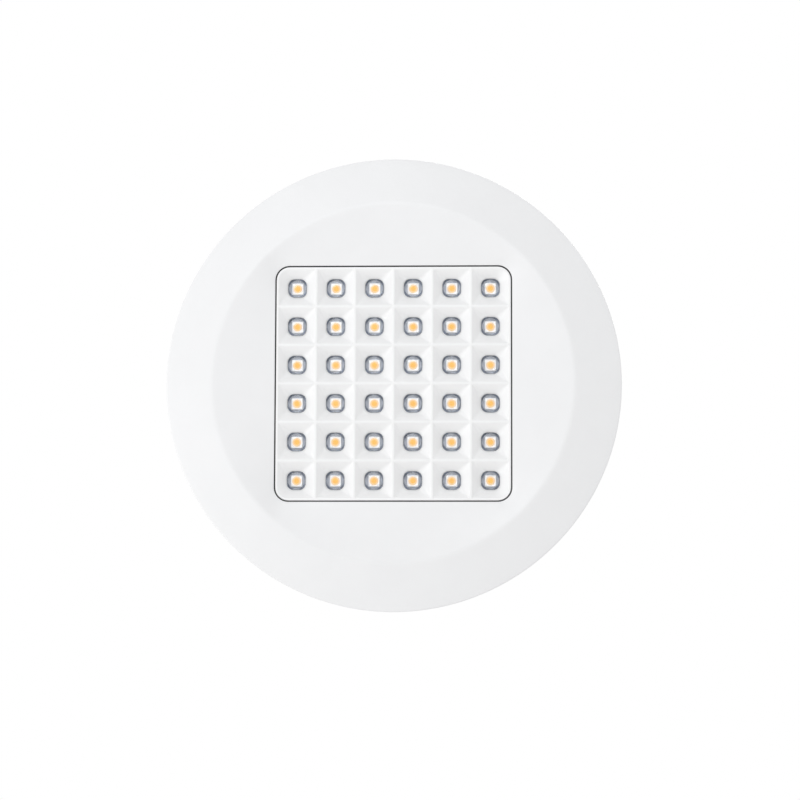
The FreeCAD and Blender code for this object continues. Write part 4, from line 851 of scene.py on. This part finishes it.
def grid_tree():
    """Sets a piece on a turned grid of points and makes the copies real."""
    tree = node_tree("copies_on_grid")
    keys = {
        "Width": socket(tree, "Width", "NodeSocketFloat", (CELLS - 1) * PITCH * MM),
        "Length": socket(tree, "Length", "NodeSocketFloat", (CELLS - 1) * PITCH * MM),
        "Count": socket(tree, "Count", "NodeSocketInt", CELLS),
        "Turn": socket(tree, "Turn", "NodeSocketFloat", 0.0),
        "Finish": socket(tree, "Finish", "NodeSocketMaterial"),
    }
    nodes, links = tree.nodes, tree.links
    given, out = nodes.new("NodeGroupInput"), nodes.new("NodeGroupOutput")
    grid = nodes.new("GeometryNodeMeshGrid")
    links.new(given.outputs["Width"], grid.inputs["Size X"])
    links.new(given.outputs["Length"], grid.inputs["Size Y"])
    for name in ("Vertices X", "Vertices Y"):
        links.new(given.outputs["Count"], grid.inputs[name])
    about_z = nodes.new("ShaderNodeCombineXYZ")
    links.new(given.outputs["Turn"], about_z.inputs["Z"])
    turned = nodes.new("GeometryNodeTransform")
    links.new(grid.outputs["Mesh"], turned.inputs["Geometry"])
    links.new(about_z.outputs[0], turned.inputs["Rotation"])
    copies = nodes.new("GeometryNodeInstanceOnPoints")
    links.new(turned.outputs["Geometry"], copies.inputs["Points"])
    links.new(given.outputs["Geometry"], copies.inputs["Instance"])
    real = nodes.new("GeometryNodeRealizeInstances")
    links.new(copies.outputs["Instances"], real.inputs[0])
    finish = nodes.new("GeometryNodeSetMaterial")
    links.new(real.outputs[0], finish.inputs["Geometry"])
    links.new(given.outputs["Finish"], finish.inputs["Material"])
    links.new(finish.outputs[0], out.inputs[0])
    return tree, keys


def repeated(name, form, tree, values):
    """The mesh that a node tree makes of a form."""
    source = bpy.data.objects.new(name + "_one", form.mesh(name + "_one"))
    scene.collection.objects.link(source)
    modifier = source.modifiers.new("repeat", "NODES")
    modifier.node_group = tree
    for key, value in values.items():
        modifier[key] = value
    bpy.context.view_layer.update()
    graph = bpy.context.evaluated_depsgraph_get()
    made = bpy.data.meshes.new_from_object(source.evaluated_get(graph))
    made.name = name
    bpy.data.objects.remove(source)
    return made


def led_package():
    """A moulded package: a square body with a round cup for the phosphor."""
    form = Form()
    outer = [
        spot_loop((0, 0), PACKAGE_HALF, PACKAGE_CORNER, BOARD_Z),
        spot_loop((0, 0), PACKAGE_HALF, PACKAGE_CORNER, PACKAGE_Z + PACKAGE_EASE),
        spot_loop((0, 0), PACKAGE_HALF - PACKAGE_EASE, PACKAGE_EASE, PACKAGE_Z),
    ]
    cup = [ring_loop(r, PACKAGE_Z + depth, 4 * CELL_SIDE_STEPS, math.radians(-45)) for r, depth in CUP]
    form.grid(outer + cup)
    form.cap(cup[-1], (0, 0, cup[-1][0][2]))
    form.cap(outer[0], (0, 0, BOARD_Z))
    return form


def phosphor_dot():
    """The cup's filling: a low dome of silicone."""
    return turned_solid([(r, PACKAGE_Z + depth) for r, depth in PHOSPHOR], PHOSPHOR_SIDES)


def cross_loop(reach, half, height, count):
    """The outline of a screw's cross recess, in line with a circle's points."""
    loop = []
    for step in range(count):
        turn = 2 * math.pi * step / count
        off = (turn + math.pi / 4) % (math.pi / 2) - math.pi / 4
        on_end = abs(math.tan(off)) <= half / reach
        radius = reach / math.cos(off) if on_end else half / abs(math.sin(off))
        loop.append((radius * math.cos(turn), radius * math.sin(turn), height))
    return loop


def pan_screw(radius, length, head, rise, count=32):
    """A screw whose head rises from the origin: thread, rounded pan head and cross recess."""
    pitch, root, height = radius * THREAD_PITCH, radius * THREAD_ROOT, SCREW_TIP - length
    profile = [(radius * THREAD_END, -length), (root, height)]
    while height < -2.5 * pitch:
        profile += [(radius, height + pitch / 2), (root, height + pitch)]
        height += pitch
    profile += [(radius * NECK[0], -pitch), (radius * NECK[1], 0.0)]
    profile += [(head * wide, rise * up) for wide, up in PAN_HEAD]
    loops = [ring_loop(r, z, count) for r, z in profile]
    loops += [cross_loop(head * reach, head * half, rise * up, count) for reach, half, up in CROSS]
    form = Form()
    form.grid(loops)
    form.cap(loops[0], (0, 0, -length))
    form.cap(loops[-1], (0, 0, rise * CROSS_FLOOR))
    return form


def make_repeats():
    """LEDs and the screws that stand on a grid."""
    tree, keys = grid_tree()
    cells_side, boss_side = (CELLS - 1) * PITCH, BOSS_AT * math.sqrt(2)
    trim_screw = pan_screw(*TRIM_SCREW).placed(Matrix.Translation((0, 0, BASE_Z)))
    lid_screw = pan_screw(*LID_SCREW).placed(Matrix.Translation((0, 0, LID_TOP)))
    for name, form, slot, node, width, length, count, turn in (
        ("led_bodies", led_package(), "led_white", "led_packages", cells_side, cells_side, CELLS, 0),
        ("led_dots", phosphor_dot(), "phosphor", "led_phosphors", cells_side, cells_side, CELLS, 0),
        ("trim_screw_set", trim_screw, "zinc_steel", "trim_screws", boss_side, boss_side, 2, BOSS_ANGLE - 45),
        ("lid_screw_set", lid_screw, "zinc_steel", "driver_lid_screws", LID_SCREWS_X, LID_SCREWS_Y, 2, 0),
    ):
        values = {
            keys["Width"]: width * MM, keys["Length"]: length * MM, keys["Count"]: count,
            keys["Turn"]: math.radians(turn), keys["Finish"]: MATERIALS[slot],
        }
        made = repeated(name, form, tree, values)
        piece(name, None, slot, replaces=(node,), crease=40, mesh=made)


def make_paired_screws():
    """Two screws that hold the clip brackets and two in the driver box's floor."""
    clip, box = Form(), Form()
    for turn in (0, math.pi):
        place = around_z(turn) @ Matrix.Translation((BRACKET_FACE, 0, CLIP_SCREW_Z))
        clip.add(pan_screw(*CLIP_SCREW), place @ Matrix.Rotation(math.pi / 2, 4, "Y"))
    for y in (-BOX_SCREW_Y, BOX_SCREW_Y):
        box.add(pan_screw(*BOX_SCREW), Matrix.Translation((0, y, BOX_SCREW_Z)))
    piece("clip_screw_pair", clip, "zinc_steel", replaces=("clip_screws",), crease=40)
    piece("box_screw_pair", box, "zinc_steel", replaces=("driver_box_screws",), crease=40)


# ---------------------------------------------------------------- springs and gland
def spring_line():
    """The wire's middle line about the hinge: a leg up, two turns and more, and a leg along the arm."""
    side = -COIL_RISE * COIL_SWEEP / (4 * math.pi)
    spots = [Vector((-COIL_R, side, SPRING_LEG * (1 - step / LEG_STEPS))) for step in range(LEG_STEPS)]
    for step in range(COIL_STEPS + 1):
        angle = COIL_SWEEP * step / COIL_STEPS
        rise = COIL_RISE * (angle - COIL_SWEEP / 2) / (2 * math.pi)
        spots.append(Vector((COIL_R * math.cos(math.pi + angle), rise, COIL_R * math.sin(math.pi + angle))))
    way, end = Vector((math.cos(ARM_REST), 0, -math.sin(ARM_REST))), spots[-1]
    return spots + [end + way * SPRING_LEG * step / LEG_STEPS for step in range(1, LEG_STEPS + 1)]


def wire_form(spots, radius, sides=12):
    """A round wire along a line of points, with rounded ends."""
    form, loops = Form(), []
    befores, afters = [spots[0]] + spots[:-1], spots[1:] + [spots[-1]]
    ways = [(after - before).normalized() for before, after in zip(befores, afters)]
    across_wire = ways[0].orthogonal().normalized()
    turns = [2 * math.pi * step / sides for step in range(sides)]
    for spot, way in zip(spots, ways):
        across_wire = (across_wire - way * across_wire.dot(way)).normalized()
        other = way.cross(across_wire)
        loops.append([
            spot + radius * (across_wire * math.cos(turn) + other * math.sin(turn)) for turn in turns
        ])
    ends = []
    for spot, inward, loop in ((spots[0], ways[0], loops[0]), (spots[-1], -ways[-1], loops[-1])):
        ends.append([spot + (point - spot) * (1 - WIRE_END) for point in loop])
        loop[:] = [point + inward * radius * WIRE_END for point in loop]
    form.grid([ends[0]] + loops + [ends[1]])
    form.cap(ends[0], spots[0])
    form.cap(ends[1], spots[-1])
    return form


def make_springs():
    """Torsion springs, each made at rest at its arm's hinge; the real springs wind up as their arms are
    lifted.
    """
    wire = wire_form(spring_line(), WIRE_R)
    for side, turn, sense in (("right", 0, 1), ("left", math.pi, -1)):
        form = wire.placed(around_z(turn) @ Matrix.Translation(HINGE))
        start, end = (0, -sense * SPRING_SHARED * MM, 0), (0, sense * SPRING_SHARED * MM, 0)
        piece(
            f"torsion_spring_{side}", form, "spring_steel", replaces=(f"clip_spring_{side}",), crease=50,
            bends=("base", f"arm_{side}", start, end),
        )


def hex_loop(half_flats, limit, height):
    """A hexagon whose corners are cut by a circle."""
    loop = []
    for step in range(GLAND_SIDES):
        turn = 2 * math.pi * step / GLAND_SIDES
        off = (turn + math.pi / 6) % (math.pi / 3) - math.pi / 6
        radius = min(half_flats / math.cos(off), limit)
        loop.append((radius * math.cos(turn), radius * math.sin(turn), height))
    return loop


def gland_form(*parts):
    """A closed section turned about the gland's axis, out of rings and of flats."""
    form, loops = Form(), []
    for values in (row for part in parts for row in part):
        loops.append(hex_loop(*values) if len(values) == 3 else ring_loop(*values, GLAND_SIDES))
    form.grid(loops, closed=True)
    return form.placed(Matrix.Translation(GLAND_AT) @ Matrix.Rotation(math.pi / 2, 4, "X"))


def make_gland():
    """Cable gland: body with its thread, compression nut with a domed end, and the seal in its mouth."""
    thread, height = [], BODY_THREAD_FROM
    while height < BODY_THREAD_TO:
        thread += [(BODY_CREST, height + BODY_RISE), (BODY_ROOT, height + BODY_PITCH)]
        height += BODY_PITCH
    nut = gland_form(NUT_FOOT, NUT_FLATS, NUT_DOME)
    piece("gland_dome_nut", nut, "gland_black", replaces=("gland_nut",), crease=30)
    body = gland_form(BODY_END, thread, BODY_NECK, BODY_FLATS, BODY_SLEEVE)
    piece("gland_threaded_body", body, "gland_black", replaces=("gland_body",), crease=30)
    piece("gland_seal_ring", gland_form(SEAL_SECTION), "seal_black", replaces=("gland_seal",), crease=35)


# ---------------------------------------------------------------- solids that keep their CAD shape
def soft_edges_tree():
    """Joins a solid's loose triangles and shades it smooth up to its creases."""
    tree = node_tree("joined_edges")
    crease_key = socket(tree, "Crease", "NodeSocketFloat", math.radians(PLAIN_CREASE))
    nodes, links = tree.nodes, tree.links
    given, out = nodes.new("NodeGroupInput"), nodes.new("NodeGroupOutput")
    merge = nodes.new("GeometryNodeMergeByDistance")
    merge.inputs["Distance"].default_value = JOIN
    links.new(given.outputs["Geometry"], merge.inputs["Geometry"])
    smooth = nodes.new("GeometryNodeSetShadeSmooth")
    links.new(merge.outputs["Geometry"], smooth.inputs["Geometry"])
    angle = nodes.new("GeometryNodeInputMeshEdgeAngle")
    steep = nodes.new("FunctionNodeCompare")
    steep.operation = "GREATER_THAN"
    links.new(angle.outputs["Unsigned Angle"], steep.inputs[0])
    links.new(given.outputs["Crease"], steep.inputs[1])
    crease = nodes.new("GeometryNodeSetShadeSmooth")
    crease.domain = "EDGE"
    crease.inputs["Shade Smooth"].default_value = False
    links.new(smooth.outputs["Geometry"], crease.inputs["Geometry"])
    links.new(steep.outputs["Result"], crease.inputs["Selection"])
    links.new(crease.outputs["Geometry"], out.inputs[0])
    return tree, crease_key


def ease_edges(item, ease):
    """Flat faces made whole, then every edge between them rounded a little."""
    weld = item.modifiers.new("weld", "WELD")
    weld.merge_threshold = JOIN
    flat = item.modifiers.new("flat_faces", "DECIMATE")
    flat.decimate_type = "DISSOLVE"
    flat.angle_limit = math.radians(FLAT_ANGLE)
    bevel = item.modifiers.new("eased_edges", "BEVEL")
    bevel.width = ease * MM
    bevel.segments = 2
    bevel.limit_method = "ANGLE"
    bevel.angle_limit = math.radians(EASED_ANGLE)
    bevel.use_clamp_overlap = True


def finish_solids():
    """Gives every CAD solid its material and smooth round faces, and eases the edges of those listed."""
    tree, crease_key = soft_edges_tree()
    slots = {row["node"]: row["material_slot"] for row in frame["record"]["subparts"]}
    for name, item in frame["nodes"].items():
        item.data.materials.clear()
        item.data.materials.append(MATERIALS[slots[name]])
        ease = EDGE_EASE.get(name)
        crease = LEAD_CREASE if name.startswith("lead_") else EASED_CREASE if ease else PLAIN_CREASE
        if ease:
            ease_edges(item, ease)
        modifier = item.modifiers.new("joined_edges", "NODES")
        modifier.node_group = tree
        modifier[crease_key] = math.radians(crease)
        if ease:
            flatter = item.modifiers.new("flat_faces_stay_flat", "WEIGHTED_NORMAL")
            flatter.keep_sharp = True


set_camera()
set_studio()
finish_solids()
make_trim()
make_louvre()
make_lenses()
make_repeats()
make_paired_screws()
make_springs()
make_gland()
